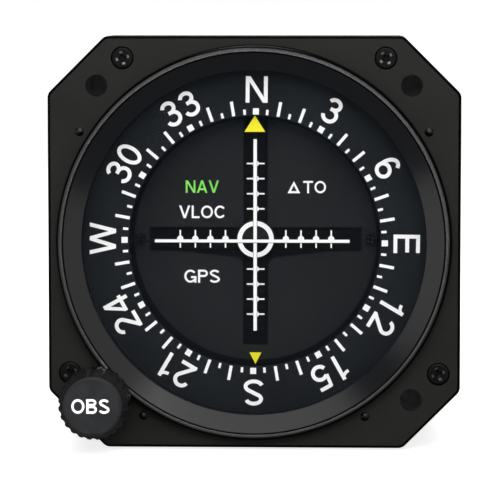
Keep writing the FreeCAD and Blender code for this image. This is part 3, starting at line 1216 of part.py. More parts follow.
def make_case_group():
    """Drawn case with its lugs, the rear cover and the cover's screws."""
    outer = octagon(CASE_HALF, CASE_FLAT, BEZEL_DEPTH, CASE_BACK, FLANGE_ROUND)
    inner_round = FLANGE_ROUND - CASE_WALL
    inner = octagon(CASE_INNER_HALF, CASE_INNER_FLAT, BEZEL_DEPTH - 1, CASE_BACK + 1, inner_round)
    lugs = []
    holes = []
    for x, z in BEZEL_SCREWS:
        hole_back = BEZEL_DEPTH + BEZEL_SCREW_GRIP
        lugs.append(cylinder(BEZEL_SCREW_BOSS, BEZEL_DEPTH, hole_back + CASE_WALL, x, z).common(outer))
        holes.append(cylinder(BEZEL_SCREW_RADIUS + FIT, BEZEL_DEPTH - 1, hole_back, x, z))
    screws = []
    cover_holes = []
    for (x, z), turn in zip(COVER_SCREWS, RECESS_TURNS):
        lugs.append(cylinder(COVER_LUG_RADIUS, CASE_BACK - COVER_LUG_LENGTH, CASE_BACK, x, z).common(outer))
        hole_front = CASE_BACK - COVER_LUG_LENGTH + CASE_WALL
        holes.append(cylinder(COVER_SCREW_RADIUS + FIT, hole_front, CASE_BACK + 1, x, z))
        cover_holes.append(cylinder(COVER_SCREW_RADIUS + FIT, CASE_BACK - 1, COVER_BACK + 1, x, z))
        head_back = COVER_BACK + COVER_SCREW_HEAD_THICK
        head = cylinder(COVER_SCREW_HEAD, COVER_BACK, head_back, x, z)
        edge = [edge for edge in head.Edges if edge.BoundBox.YMin > head_back - SEAT]
        head = head.makeFillet(COVER_SCREW_EDGE, edge)
        tip = CASE_BACK - COVER_SCREW_GRIP
        shank = cylinder(COVER_SCREW_RADIUS, tip, COVER_BACK + COVER_SCREW_EDGE, x, z)
        recess = cross_recess(x, z, head_back, -1, COVER_SCREW_HEAD, turn)
        screws.append(joined(head, shank).cut(recess))
    case = joined(outer.cut(inner), *lugs).cut(holes)
    cover = octagon(CASE_HALF, CASE_FLAT, CASE_BACK, COVER_BACK, FLANGE_ROUND)
    rim = [edge for edge in cover.Edges if edge.BoundBox.YMin > COVER_BACK - FIT]
    cover = cover.makeChamfer(COVER_EDGE, rim)
    opening = connector_outline(SHELL_WIDTH + SEAT, SHELL_HEIGHT + SEAT)
    cover_holes.append(prism(opening, CASE_BACK - 1, COVER_BACK + 1))
    for x, z in JACKS:
        cover_holes.append(cylinder(JACK_STEM_RADIUS + SEAT, CASE_BACK - 1, COVER_BACK + 1, x, z))
    save("case", case)
    save("rear_cover", cover.cut(cover_holes))
    save("rear_cover_screws", *screws)


def connector_outline(width, height):
    """D-shaped outline of the rear connector, seen from the front."""
    slope = height * math.tan(math.radians(SHELL_SLOPE))
    top = CONNECTOR_Z + height / 2
    bottom = CONNECTOR_Z - height / 2
    return [(-width / 2, top), (width / 2, top), (width / 2 - slope, bottom), (slope - width / 2, bottom)]


def make_connector():
    """25-way rear connector: shell and flange, insert with its contacts, and jack posts."""
    half_width = JACK_X + JACK_MARGIN
    z_from = CONNECTOR_Z - CONNECTOR_FLANGE_HEIGHT / 2
    z_to = CONNECTOR_Z + CONNECTOR_FLANGE_HEIGHT / 2
    flange = box(-half_width, half_width, COVER_BACK, CONNECTOR_FLANGE_BACK, z_from, z_to)
    corners = [edge for edge in flange.Edges if edge.BoundBox.YLength > FIT]
    flange = flange.makeFillet(CONNECTOR_FLANGE_ROUND, corners)
    shell = prism(connector_outline(SHELL_WIDTH, SHELL_HEIGHT), CONNECTOR_FLANGE_BACK - FIT, SHELL_BACK)
    inner = connector_outline(SHELL_WIDTH - 2 * SHELL_WALL, SHELL_HEIGHT - 2 * SHELL_WALL)
    window = prism(inner, COVER_BACK - 1, SHELL_BACK + 1)
    jack_holes = []
    jacks = []
    for x, z in JACKS:
        jack_holes.append(cylinder(JACK_STEM_RADIUS + SEAT, COVER_BACK - 1, CONNECTOR_FLANGE_BACK + 1, x, z))
        hexagon = hexagon_at(x, z, JACK_ACROSS / math.sqrt(3))
        jack = prism(hexagon, CONNECTOR_FLANGE_BACK, CONNECTOR_FLANGE_BACK + JACK_LENGTH)
        stem_front = CASE_BACK - JACK_STEM_PAST_COVER
        stem = cylinder(JACK_STEM_RADIUS, stem_front, CONNECTOR_FLANGE_BACK + FIT, x, z)
        thread = cylinder(JACK_THREAD_RADIUS, CONNECTOR_FLANGE_BACK + 1, SHELL_BACK + 1, x, z)
        jacks.append(joined(jack, stem).cut(thread))
    inset = 2 * (SHELL_WALL + FIT)
    body_outline = connector_outline(SHELL_WIDTH - inset, SHELL_HEIGHT - inset)
    insert = prism(body_outline, CASE_BACK - INSERT_PAST_COVER, SHELL_BACK - INSERT_SUNK)
    contacts = []
    for rise, count in ((CONTACT_ROW_RISE, UPPER_CONTACTS), (-CONTACT_ROW_RISE, LOWER_CONTACTS)):
        for number in range(count):
            x = (number - (count - 1) / 2) * CONTACT_PITCH
            hexagon = hexagon_at(x, CONNECTOR_Z + rise, CONTACT_RADIUS)
            contacts.append(prism(hexagon, SHELL_BACK - CONTACT_DEPTH, SHELL_BACK + 1))
    save("connector_shell", joined(flange, shell).cut([window] + jack_holes))
    save("connector_insert", insert.cut(contacts))
    save("connector_jackposts", *jacks)


os.makedirs("parts", exist_ok=True)
save("bezel", make_bezel())
save("bezel_screws", *make_bezel_screws())
save("bezel_pins", *make_bezel_pins())
make_glass_group()
make_card_group()
make_knob_group()
make_idlers()
make_resolver()
make_mask_group()
make_annunciator()
make_needles()
make_magnets()
gs_length = GS_AXIS_Y - GS_ROOT_BACK
cdi_length = CDI_AXIS_Y - CDI_BACK
make_movement("gs", onto_gs_axis, GS_CENTRE_X + ARM_OFFSET, gs_length, GS_SHORT_END, GS_WEIGHT_LENGTH)
make_movement("cdi", onto_cdi_axis, ARM_OFFSET, cdi_length, CDI_SHORT_END, CDI_WEIGHT_LENGTH)
make_brackets()
make_frame()
make_main_board()
make_case_group()
make_connector()
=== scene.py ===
"""Looks, light and camera for the course deviation indicator. Everything is in metres.

X runs to the right, Y runs back into the panel and Z runs up, as seen by the pilot.
The origin is the dial's axis on the front face of the flange.
"""
import bpy
import bmesh
import json
import math
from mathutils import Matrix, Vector


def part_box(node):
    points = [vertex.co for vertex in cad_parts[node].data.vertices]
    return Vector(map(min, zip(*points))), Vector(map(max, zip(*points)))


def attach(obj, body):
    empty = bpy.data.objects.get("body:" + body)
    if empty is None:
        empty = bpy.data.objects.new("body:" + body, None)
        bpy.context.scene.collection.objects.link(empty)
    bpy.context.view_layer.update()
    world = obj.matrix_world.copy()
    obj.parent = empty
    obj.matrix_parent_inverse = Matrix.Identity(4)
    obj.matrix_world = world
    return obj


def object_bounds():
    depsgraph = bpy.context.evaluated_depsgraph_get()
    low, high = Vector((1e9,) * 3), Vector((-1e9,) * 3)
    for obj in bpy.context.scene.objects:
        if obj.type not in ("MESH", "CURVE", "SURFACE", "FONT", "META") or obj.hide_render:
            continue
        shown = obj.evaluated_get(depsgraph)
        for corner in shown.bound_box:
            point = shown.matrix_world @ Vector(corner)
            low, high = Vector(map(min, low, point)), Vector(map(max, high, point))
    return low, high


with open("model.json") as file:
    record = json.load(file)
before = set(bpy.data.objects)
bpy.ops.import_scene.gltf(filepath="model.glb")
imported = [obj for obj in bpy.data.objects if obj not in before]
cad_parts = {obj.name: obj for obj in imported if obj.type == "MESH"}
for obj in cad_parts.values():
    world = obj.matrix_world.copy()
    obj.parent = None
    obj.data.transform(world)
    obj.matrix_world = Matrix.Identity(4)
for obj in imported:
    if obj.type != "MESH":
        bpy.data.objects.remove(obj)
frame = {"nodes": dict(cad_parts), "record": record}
cad_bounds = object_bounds()

MM = 0.001

# Paint stands this far proud of what it is on, and this deep in it, in millimetres
PAINT_PROUD = 0.04
PAINT_SUNK = 0.02

# Below, the strokes and gaps of lettering are shares of its height.

# Compass card, in millimetres. Its whole printing is turned a little clockwise, in degrees. Ticks are
# given by width and length, from the radius where they all begin.
CARD_TURN = 0.6
TICK_INNER = 25.55
MAJOR_TICK = (1.2, 1.25)
TEN_TICK = (0.62, 2.95)
FIVE_TICK = (0.5, 1.05)
NUMERAL_MIDDLE = 30.56
NUMERAL_HEIGHT = 5.3
NUMERAL_STROKE = 0.145
NUMERAL_GAP = 0.12
# Each numeral, and how far its middle stands to the right of its tick
NUMERALS = (
    ("N", 0.12), ("3", 0.03), ("6", 0.07), ("E", 0.07), ("12", -0.5), ("15", -0.2),
    ("S", -0.1), ("21", 0.0), ("24", 0.2), ("W", 0.22), ("30", 0.22), ("33", 0.12),
)

# Scale, centre ring and legends on the mask, in millimetres. A dash is given by length and width,
# a dot by its diameter, and a legend by its text, left, right, bottom and top.
WELL_DEPTH = 0.8
SCALE_PITCH = 3.07
SCALE_STEPS = (-5, -4, -3, -2, 2, 3, 4, 5)
SCALE_DASH = (3.6, 0.31)
SCALE_DOT = 1.35
RING_OUTER = 3.7
RING_INNER = 2.75
LEGEND_STROKE = 0.158
LEGEND_GAP = 0.12
LEGENDS_WHITE = (
    ("VLOC", -15.51, -6.14, 4.26, 6.84),
    ("GPS", -14.50, -7.26, -8.90, -6.23),
    ("TO", 9.66, 14.28, 9.39, 11.88),
)
LEGEND_GREEN = ("NAV", -14.17, -7.44, 9.43, 11.94)
ARROW = (6.41, 9.13, 9.38, 11.87)
ARROW_LINE = 0.42

# Painted shade on the mask, near black, in millimetres: on its rim, and on the flare under the scale's
# level arms
MASK_RIM_SHADE = 24.5
FLARE_AT_MIDDLE = 4.15
FLARE_SLOPE = 0.113
FLARE_HALF_WIDTH = 2.55
FLARE_ROUND = 3.0
FLARE_REACH = 21.3

# Lettering on the knob, given like a legend
KNOB_LEGEND = ("OBS", -35.56, -28.01, -32.81, -29.91)
KNOB_STROKE = 0.17

# The white stripes on the needles: where each ends, and its two sides, in millimetres
GS_WHITE_FROM_X = -20.1
GS_WHITE_SIDES = (-0.24, 0.37)
CDI_WHITE_TO_Z = 20.45
CDI_WHITE_SIDES = (-0.34, 0.34)

# Camera: its distance in metres, its direction from the dial, and its lens and sensor in millimetres
CAMERA_DISTANCE = 0.600
CAMERA_BACK = Vector((0.0351, -0.9961, 0.0814)).normalized()
CAMERA_LENS = 216.15
SENSOR = 36.0
SHIFT = (-0.0078, -0.0139)

# Studio. The floor glows for the camera alone, and the glow grows between two distances in metres.
WORLD_LIGHT = 0.06
FLOOR_HALF = 30.0
FLOOR_GAP = 0.0005
FLOOR_GLOW = (0.80, 1.0)
FLOOR_SWEEP = (0.12, 0.6)
# Each light's name, azimuth, elevation, distance, size and power, in degrees, metres and watts
LIGHTS = (
    ("key_above", 0, 48, 0.60, (0.56, 0.44), 1.85),
    ("left_side", -50, 1, 0.60, (0.26, 0.44), 0.62),
    ("right_side", 44, 9, 0.60, (0.34, 0.56), 0.70),
    ("front_fill", 4, 24, 0.60, (0.36, 0.16), 0.95),
    ("back_rim", 180, 40, 0.9, (0.6, 0.5), 4.0),
)

# Radii on the bezel, in millimetres: from the bevel outwards, a groove in painted shade, an edge with a
# painted highlight, a round-off with a painted grey reflection and a foot in painted shadow
GROOVE_INNER = 37.95
HIGHLIGHT_EDGE = (38.33, 38.58)
GREY_REFLECTION_EDGE = 38.95
FOOT_SHADE = 39.6
GREY_REFLECTION_SHARE = 0.1

# Flange, in millimetres: its half width, the cut corners' distance from the axis, the width of the
# painted shade along its outline, and the three mounting holes
FLANGE_HALF = 41.275
FLANGE_CORNER = 50.24
FLANGE_OUTLINE_SHADE = 0.16
MOUNT_HOLES = ((-31.43, 31.43), (31.43, 31.43), (31.43, -31.43))
MOUNT_HOLE_RADIUS = 2.2

# Heads of the screws, in millimetres. Each driver recess is bright steel between these shares of the
# head's radius, partly rubbed bare and partly a painted glint, and the painted glint is fainter on the
# lower screws
BEZEL_SCREW_HEAD = 2.2
MASK_SCREW_HEAD = 1.2
COVER_SCREW_HEAD = 2.1
WEAR_AND_GLINT = (0.45, 0.70)
WEAR_AND_GLINT_BLEND = 0.05
LOWER_SCREW_GLINT = 0.3

# Knob, in millimetres: where the painted highlight on its rim begins and ends, and its face ends
KNOB_RIM_HIGHLIGHT = (5.3, 5.9)
KNOB_FACE = (6.2, 6.5)

# Painted glow of the printing and of the needles' white stripes, which makes them brighter than the lamps
# light them
PAINTED_GLOW = 0.42

# How much of all the noise is in its finest detail
NOISE_ROUGHNESS = 0.55


# Strokes. A band is a pair of point lists, its two sides, and says whether it closes on itself.


def arc(x, z, x_radius, z_radius, start, end, step=12):
    """Points along an elliptical arc, between two angles in degrees."""
    count = max(2, int(abs(end - start) / step))
    points = []
    for number in range(count + 1):
        angle = math.radians(start + (end - start) * number / count)
        points.append((x + x_radius * math.cos(angle), z + z_radius * math.sin(angle)))
    return points


def band(points, half, closed=False):
    """Two sides of a stroke that follows the points."""
    left = []
    right = []
    count = len(points)
    for number in range(count):
        here = Vector(points[number])
        before = Vector(points[number - 1]) if number or closed else here
        after = Vector(points[(number + 1) % count]) if number < count - 1 or closed else here
        into = (here - before).normalized() if before != here else (after - here).normalized()
        out = (after - here).normalized() if after != here else into
        along = (into + out).normalized()
        across = Vector((-along.y, along.x))
        reach = half / max(0.5, along.dot(into))
        left.append(tuple(here + across * reach))
        right.append(tuple(here - across * reach))
    return left, right, closed


def slant(x_low, x_high, stroke, z_low=0.0, z_high=1.0):
    """Sloping stroke with level ends."""
    lean = math.hypot(x_high - x_low, z_high - z_low) / (z_high - z_low)
    half = stroke * lean / 2
    left = [(x_low - half, z_low), (x_high - half, z_high)]
    right = [(x_low + half, z_low), (x_high + half, z_high)]
    return left, right, False


def oval(x, z, x_radius, z_radius, half):
    """Closed elliptical stroke."""
    return band(arc(x, z, x_radius, z_radius, 0, 348), half, True)


def glyph_shapes(stroke):
    """Width and strokes of each letter and figure, for a cap height of one."""
    h = stroke / 2
    top = 1 - h
    figure = 0.655
    middle = figure / 2
    return {
        "0": (figure, [oval(middle, 0.5, middle - h, 0.5 - h, h)]),
        "1": (figure, [
            band([(0.44 - h, 0), (0.44 - h, 1)], h),
            band(arc(0.08, 0.95, 0.36 - h, 0.19, -90, 0), h * 0.85),
        ]),
        "2": (figure, [
            band(arc(0.325, 0.70, 0.315 - h, 0.30 - h, 172, -38) + [(0.10, h + 0.03)], h),
            band([(0.01, h), (figure, h)], h),
        ]),
        "3": (figure, [
            band(arc(0.315, 0.735, 0.295 - h, 0.265 - h, 165, -90) + [(0.235, 0.47 + h)], h),
            band(arc(middle, 0.31, middle - h, 0.31 - h, 90, -165), h),
        ]),
        "4": (figure, [
            band([(0.49, 0), (0.49, 1)], h),
            band([(0.47, 0.96), (0.055, 0.28)], h * 0.9),
            band([(0, 0.28), (figure, 0.28)], h),
        ]),
        "5": (figure, [
            band([(0.12, top), (0.60, top)], h),
            band([(0.155, 1 - h / 2), (0.10, 0.48)], h * 0.9),
            band(arc(0.32, 0.325, 0.33 - h, 0.325 - h, 140, -160), h),
        ]),
        "6": (figure, [
            oval(middle, 0.315, middle - h, 0.315 - h, h),
            band(arc(0.34, 0.5, 0.34 - h, 0.5 - h, 48, 200), h),
        ]),
        "N": (0.83, [
            band([(h, 0), (h, 1)], h),
            band([(0.83 - h, 0), (0.83 - h, 1)], h),
            slant(0.83 - h * 1.25, h * 1.25, stroke),
        ]),
        "E": (0.70, [
            band([(h, 0), (h, 1)], h),
            band([(h, h), (0.70, h)], h),
            band([(h, 0.52), (0.67, 0.52)], h),
            band([(h, top), (0.69, top)], h),
        ]),
        "S": (0.77, [
            band(
                arc(0.385, 0.745, 0.355 - h, 0.255 - h, 15, 240)
                + arc(0.385, 0.27, 0.385 - h, 0.27 - h, 60, -165), h
            ),
        ]),
        "W": (1.21, [
            slant(0.31, h, stroke),
            slant(0.31, 0.605, stroke),
            slant(0.90, 0.605, stroke),
            slant(0.90, 1.21 - h, stroke),
        ]),
        "V": (0.87, [slant(0.435, h, stroke), slant(0.435, 0.87 - h, stroke)]),
        "A": (0.88, [
            slant(h, 0.44, stroke),
            slant(0.88 - h, 0.44, stroke),
            band([(0.20, 0.29), (0.68, 0.29)], h * 0.9),
        ]),
        "L": (0.62, [band([(h, 0), (h, 1)], h), band([(h, h), (0.62, h)], h)]),
        "T": (0.80, [band([(0.40, 0), (0.40, 1)], h), band([(0, top), (0.80, top)], h)]),
        "O": (0.94, [oval(0.47, 0.5, 0.47 - h, 0.5 - h, h)]),
        "C": (0.86, [band(arc(0.45, 0.5, 0.45 - h, 0.5 - h, 38, 322), h)]),
        "G": (0.90, [
            band(arc(0.46, 0.5, 0.46 - h, 0.5 - h, 38, 325), h),
            band([(0.50, 0.43), (0.90, 0.43)], h),
            band([(0.90 - h, 0.43 + h), (0.90 - h, 0.0)], h),
        ]),
        "P": (0.73, [
            band([(h, 0), (h, 1)], h),
            band([(h, top)] + arc(0.44, 0.72, 0.29 - h, 0.28 - h, 90, -90) + [(h, 0.44 + h)], h),
        ]),
        "B": (0.76, [
            band([(h, 0), (h, 1)], h),
            band([(h, top)] + arc(0.44, 0.755, 0.28 - h, 0.245 - h, 90, -90) + [(h, 0.51 + h)], h),
            band([(h, 0.56 - h)] + arc(0.45, 0.28, 0.31 - h, 0.28 - h, 90, -90) + [(h, h)], h),
        ]),
    }


def moved(shape, change):
    """A band with every point changed by a function of (x, z)."""
    left, right, closed = shape
    return [change(*point) for point in left], [change(*point) for point in right], closed


def word(text, height, stroke, gap, width=None):
    """Bands of a word from its lower left corner."""
    shapes = glyph_shapes(stroke)
    natural = sum(shapes[letter][0] for letter in text)
    gaps = gap * (len(text) - 1)
    stretch = 1.0 if width is None else (width / height - gaps) / natural
    bands = []
    x_from = 0.0
    for letter in text:
        letter_width, strokes = shapes[letter]

        def placed(x, z, at=x_from):
            return (at + x * stretch) * height, z * height

        bands += [moved(shape, placed) for shape in strokes]
        x_from += letter_width * stretch + gap
    return bands


# Solids from bands


def add_band(mesh, shape, y_front, y_back):
    """Closed solid of one band, between two depths in millimetres."""
    left, right, closed = shape
    rows = []
    for first, second in zip(left, right):
        corners = ((first, y_front), (second, y_front), (second, y_back), (first, y_back))
        rows.append([mesh.verts.new((x * MM, y * MM, z * MM)) for (x, z), y in corners])
    spans = list(zip(rows, rows[1:]))
    if closed:
        spans.append((rows[-1], rows[0]))
    else:
        mesh.faces.new(rows[0])
        mesh.faces.new(rows[-1][::-1])
    for near, far in spans:
        for side in range(4):
            following = (side + 1) % 4
            mesh.faces.new((near[side], far[side], far[following], near[following]))


def mesh_object(name, bands, y_front, y_back):
    """New object that holds the solids of the bands."""
    mesh = bmesh.new()
    for shape in bands:
        add_band(mesh, shape, y_front, y_back)
    bmesh.ops.recalc_face_normals(mesh, faces=mesh.faces)
    data = bpy.data.meshes.new(name)
    mesh.to_mesh(data)
    mesh.free()
    piece = bpy.data.objects.new(name, data)
    bpy.context.scene.collection.objects.link(piece)
    return piece


def painted(name, bands, surface, body, finish, crossing=True):
    """Paint as thin closed solids on a surface, with strokes that cross made one."""
    y_front = surface - PAINT_PROUD
    y_back = surface + PAINT_SUNK
    if not crossing:
        piece = mesh_object(name, bands, y_front, y_back)
    else:
        piece = mesh_object(name, bands[0::2], y_front, y_back)
        other = mesh_object(name + "_other", bands[1::2], y_front, y_back)
        union = piece.modifiers.new("union", "BOOLEAN")
        union.operation = "UNION"
        union.solver = "EXACT"
        union.use_self = True
        union.object = other
        bpy.context.view_layer.update()
        evaluated = piece.evaluated_get(bpy.context.evaluated_depsgraph_get())
        made = bpy.data.meshes.new_from_object(evaluated)
        piece.modifiers.clear()
        piece.data = made
        bpy.data.objects.remove(other)
    piece.data.materials.clear()
    piece.data.materials.append(finish)
    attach(piece, body)


# Materials. Each is worked out from noise in the object's own coordinates, in metres.


class Nodes:
    """Short names for building one material's node tree."""

    def __init__(self, name):
        self.material = bpy.data.materials.new(name)
        self.material.use_nodes = True
        self.tree = self.material.node_tree
        self.shader = self.tree.nodes["Principled BSDF"]
        self.place = self.tree.nodes.new("ShaderNodeTexCoord").outputs["Object"]

    def link(self, source, target):
        """Join two sockets, or set the target where the source is a value."""
        if isinstance(source, bpy.types.NodeSocket):
            self.tree.links.new(source, target)
        else:
            target.default_value = source

    def math(self, operation, first, second=0.0, third=0.0):
        """One sum."""
        node = self.tree.nodes.new("ShaderNodeMath")
        node.operation = operation
        self.link(first, node.inputs[0])
        self.link(second, node.inputs[1])
        self.link(third, node.inputs[2])
        return node.outputs[0]

    def axis(self, name):
        """One of the object's coordinates."""
        node = self.tree.nodes.new("ShaderNodeSeparateXYZ")
        self.link(self.place, node.inputs[0])
        return node.outputs[name]

    def distance(self, x, z):
        """Distance from an axis along Y."""
        across = self.math("SUBTRACT", self.axis("X"), x)
        up = self.math("SUBTRACT", self.axis("Z"), z)
        across = self.math("MULTIPLY", across, across)
        up = self.math("MULTIPLY", up, up)
        return self.math("SQRT", self.math("ADD", across, up))

    def largest(self, *values):
        """Largest of several values."""
        result = values[0]
        for value in values[1:]:
            result = self.math("MAXIMUM", result, value)
        return result

    def product(self, *values):
        """Product of several values."""
        result = values[0]
        for value in values[1:]:
            result = self.math("MULTIPLY", result, value)
        return result

    def unless(self, value):
        """1 where the value is 0, and 0 where it is 1."""
        return self.math("SUBTRACT", 1.0, value)

    def beyond(self, value, limit, blend=0.04):
        """1 past a limit in millimetres and 0 before it."""
        return self.spread(value, 0.0, 1.0, (limit - blend) * MM, (limit + blend) * MM)

    def noise(self, scale, detail=4.0, stretch=(1.0, 1.0, 1.0)):
        """Noise between 0 and 1."""
        mapping = self.tree.nodes.new("ShaderNodeMapping")
        mapping.inputs["Scale"].default_value = stretch
        self.link(self.place, mapping.inputs["Vector"])
        node = self.tree.nodes.new("ShaderNodeTexNoise")
        node.inputs["Scale"].default_value = scale
        node.inputs["Detail"].default_value = detail
        node.inputs["Roughness"].default_value = NOISE_ROUGHNESS
        self.link(mapping.outputs[0], node.inputs["Vector"])
        return node.outputs[0]

    def spread(self, value, low, high, start=0.3, end=0.7):
        """Value between start and end carried to between low and high."""
        node = self.tree.nodes.new("ShaderNodeMapRange")
        self.link(value, node.inputs["Value"])
        node.inputs["From Min"].default_value = start
        node.inputs["From Max"].default_value = end
        node.inputs["To Min"].default_value = low
        node.inputs["To Max"].default_value = high
        return node.outputs[0]

    def mix(self, share, first, second):
        """Blend of two colours."""
        node = self.tree.nodes.new("ShaderNodeMix")
        node.data_type = "RGBA"
        self.link(share, node.inputs["Factor"])
        for colour, socket in ((first, node.inputs[6]), (second, node.inputs[7])):
            self.link(colour if isinstance(colour, bpy.types.NodeSocket) else (*colour, 1.0), socket)
        return node.outputs[2]

    def bump(self, *layers):
        """Relief from (height, depth in millimetres) layers."""
        normal = None
        for height, depth in layers:
            node = self.tree.nodes.new("ShaderNodeBump")
            node.inputs["Strength"].default_value = 1.0
            node.inputs["Distance"].default_value = depth * MM
            self.link(height, node.inputs["Height"])
            if normal:
                self.link(normal, node.inputs["Normal"])
            normal = node.outputs[0]
        self.link(normal, self.shader.inputs["Normal"])

    def set(self, **values):
        """Set the shader's own sockets."""
        for name, value in values.items():
            self.link(value, self.shader.inputs[name.replace("_", " ")])
        return self.material


def surface(
    name, dark, light, roughness,
    metallic=0.0, grain=900.0, depth=0.01, stretch=(1.0, 1.0, 1.0), gloss=0.5,
):
    """General finish: colour, roughness and relief that vary over the surface."""
    nodes = Nodes(name)
    broad = nodes.noise(grain / 12, 3.0)
    fine = nodes.noise(grain, 5.0, stretch)
    share = nodes.spread(nodes.math("ADD", broad, fine), 0.0, 1.0, 0.6, 1.4)
    rough = nodes.spread(fine, roughness[0], roughness[1])
    nodes.bump((fine, depth), (nodes.noise(grain * 4, 2.0, stretch), depth / 4))
    return nodes.set(
        Base_Color=nodes.mix(share, dark, light), Roughness=rough, Metallic=metallic,
        Specular_IOR_Level=gloss,
    )


def casting():
    """Matte black enamel, satin on the bevel; a painted highlight and grey reflection on the edge,
    painted shade round them.
    """
    nodes = Nodes("black_casting")
    texture = nodes.noise(5200.0, 3.0)
    cloud = nodes.noise(60.0, 3.0)
    radius = nodes.distance(0.0, 0.0)
    y = nodes.axis("Y")
    beyond = nodes.beyond

    # Distance of a point from the axis, measured square to the flange's nearest side or corner
    across = nodes.math("ABSOLUTE", nodes.axis("X"))
    up = nodes.math("ABSOLUTE", nodes.axis("Z"))
    cut = nodes.math("MULTIPLY", nodes.math("ADD", across, up), math.sqrt(0.5))
    cut = nodes.math("ADD", cut, (FLANGE_HALF - FLANGE_CORNER) * MM)
    side = nodes.largest(across, up, cut)

    # Painted shade, near black: the groove and the foot inside FOOT_SHADE, and the flange's outline,
    # sides and back
    flange = beyond(radius, FOOT_SHADE, 0.1)
    outline = beyond(side, FLANGE_HALF - FLANGE_OUTLINE_SHADE, 0.08)
    edge = nodes.product(flange, nodes.largest(beyond(y, 0.08), outline))
    bevel = nodes.unless(beyond(radius, GROOVE_INNER))
    # Painted highlight on the land, and a fainter painted grey reflection on the round-off, made uneven
    # by noise
    edge_highlight = nodes.product(beyond(radius, HIGHLIGHT_EDGE[0]), nodes.unless(beyond(radius, HIGHLIGHT_EDGE[1])))
    round_off_reflection = nodes.product(
        beyond(radius, HIGHLIGHT_EDGE[1]), nodes.unless(beyond(radius, GREY_REFLECTION_EDGE, 0.1)), GREY_REFLECTION_SHARE
    )
    wear_and_highlight_noise = nodes.spread(nodes.noise(700.0, 3.0), 0.75, 1.0)
    bright = nodes.product(nodes.math("ADD", edge_highlight, round_off_reflection), wear_and_highlight_noise)
    painted_shade = nodes.product(nodes.unless(bevel), nodes.largest(nodes.unless(flange), edge))

    cloud = nodes.spread(cloud, 0.0, 1.0)
    enamel = nodes.mix(cloud, (0.0095, 0.0095, 0.0081), (0.0145, 0.0145, 0.0125))
    grit = nodes.spread(texture, 0.0, 0.35, 0.55, 0.75)
    enamel = nodes.mix(grit, enamel, (0.022, 0.022, 0.020))
    # Painted shade, then the bevel's own satin colour, then the painted highlight and reflection on the
    # edge
    colour = nodes.mix(painted_shade, enamel, (0.0055, 0.0055, 0.0052))
    colour = nodes.mix(bevel, colour, (0.0090, 0.0094, 0.0106))
    colour = nodes.mix(bright, colour, (0.78, 0.78, 0.80))
    satin = nodes.largest(bevel, bright)
    grained = nodes.product(nodes.spread(texture, 0.46, 0.58), nodes.unless(satin))
    smooth = nodes.product(nodes.spread(texture, 0.15, 0.20), satin)

    # Painted glow in the blind mounting holes, standing for the light that finds its way into them
    holes = [nodes.distance(x * MM, z * MM) for x, z in MOUNT_HOLES]
    inside = [nodes.unless(beyond(away, MOUNT_HOLE_RADIUS + 0.1, 0.02)) for away in holes]
    uneven = nodes.spread(nodes.noise(500.0, 3.0), 0.005, 0.012)
    glow = nodes.product(nodes.largest(*inside), beyond(y, 0.5, 0.4), uneven)

    relief = nodes.product(texture, nodes.unless(nodes.product(satin, 0.85)))
    nodes.bump((relief, 0.010), (nodes.noise(900.0), 0.006))
    return nodes.set(
        Base_Color=colour, Roughness=nodes.math("ADD", grained, smooth), Metallic=painted_shade,
        Specular_IOR_Level=0.25, Emission_Color=(1.0, 1.0, 1.0, 1.0), Emission_Strength=glow,
    )


def screw_finish(node, head_radius, faces_back=False):
    """Black oxide, with bright steel at the ends of each driver recess: partly rubbed bare, partly a
    painted glint.
    """
    nodes = Nodes(node + "_black")
    low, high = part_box(node)
    wear_and_highlight_noise = nodes.noise(2600.0, 3.0)
    shallow, full = 0.04 * MM, 0.12 * MM
    if faces_back:
        deep = nodes.spread(nodes.axis("Y"), 1.0, 0.0, high.y - full, high.y - shallow)
    else:
        deep = nodes.spread(nodes.axis("Y"), 0.0, 1.0, low.y + shallow, low.y + full)
    head = head_radius * MM
    rings = []
    for x, z in screw_places(node):
        away = nodes.distance(x, z)
        inside = nodes.spread(away, 1.0, 0.0, (WEAR_AND_GLINT[1] - WEAR_AND_GLINT_BLEND) * head, WEAR_AND_GLINT[1] * head)
        past = nodes.spread(away, 0.0, 1.0, (WEAR_AND_GLINT[0] - WEAR_AND_GLINT_BLEND) * head, WEAR_AND_GLINT[0] * head)
        # The painted glint is fainter on the lower screws, where less light falls
        rings.append(nodes.product(inside, past, 1.0 if z > 0 else LOWER_SCREW_GLINT))
    worn = nodes.product(nodes.largest(*rings), deep, nodes.spread(wear_and_highlight_noise, 0.4, 1.0, 0.35, 0.6))
    colour = nodes.mix(worn, (0.0035, 0.0035, 0.0032), (0.45, 0.45, 0.45))
    nodes.bump((wear_and_highlight_noise, 0.01))
    return nodes.set(
        Base_Color=colour, Roughness=nodes.spread(wear_and_highlight_noise, 0.36, 0.5), Metallic=nodes.product(worn, 0.9),
        Specular_IOR_Level=0.15,
    )


def screw_places(node):
    """Axis (x, z) of each screw of a group, in metres: left or right, and high, level or low."""
    groups = {}
    apart = 3.0 * MM
    for vertex in frame["nodes"][node].data.vertices:
        x, _, z = vertex.co
        groups.setdefault((x > 0, z > apart, z < -apart), []).append((x, z))
    places = []
    for points in groups.values():
        xs = [point[0] for point in points]
        zs = [point[1] for point in points]
        places.append(((min(xs) + max(xs)) / 2, (min(zs) + max(zs)) / 2))
    return places


def lens_finish():
    """Clear glass with a faint cool haze."""
    nodes = Nodes("lens")
    haze = nodes.spread(nodes.noise(45.0, 3.0), 0.0, 1.0)
    nodes.material.surface_render_method = "BLENDED"
    return nodes.set(
        Base_Color=nodes.mix(haze, (0.012, 0.020, 0.030), (0.020, 0.030, 0.042)),
        Roughness=nodes.spread(nodes.noise(300.0), 0.02, 0.06),
        Alpha=0.07,
        Specular_IOR_Level=0.5,
    )


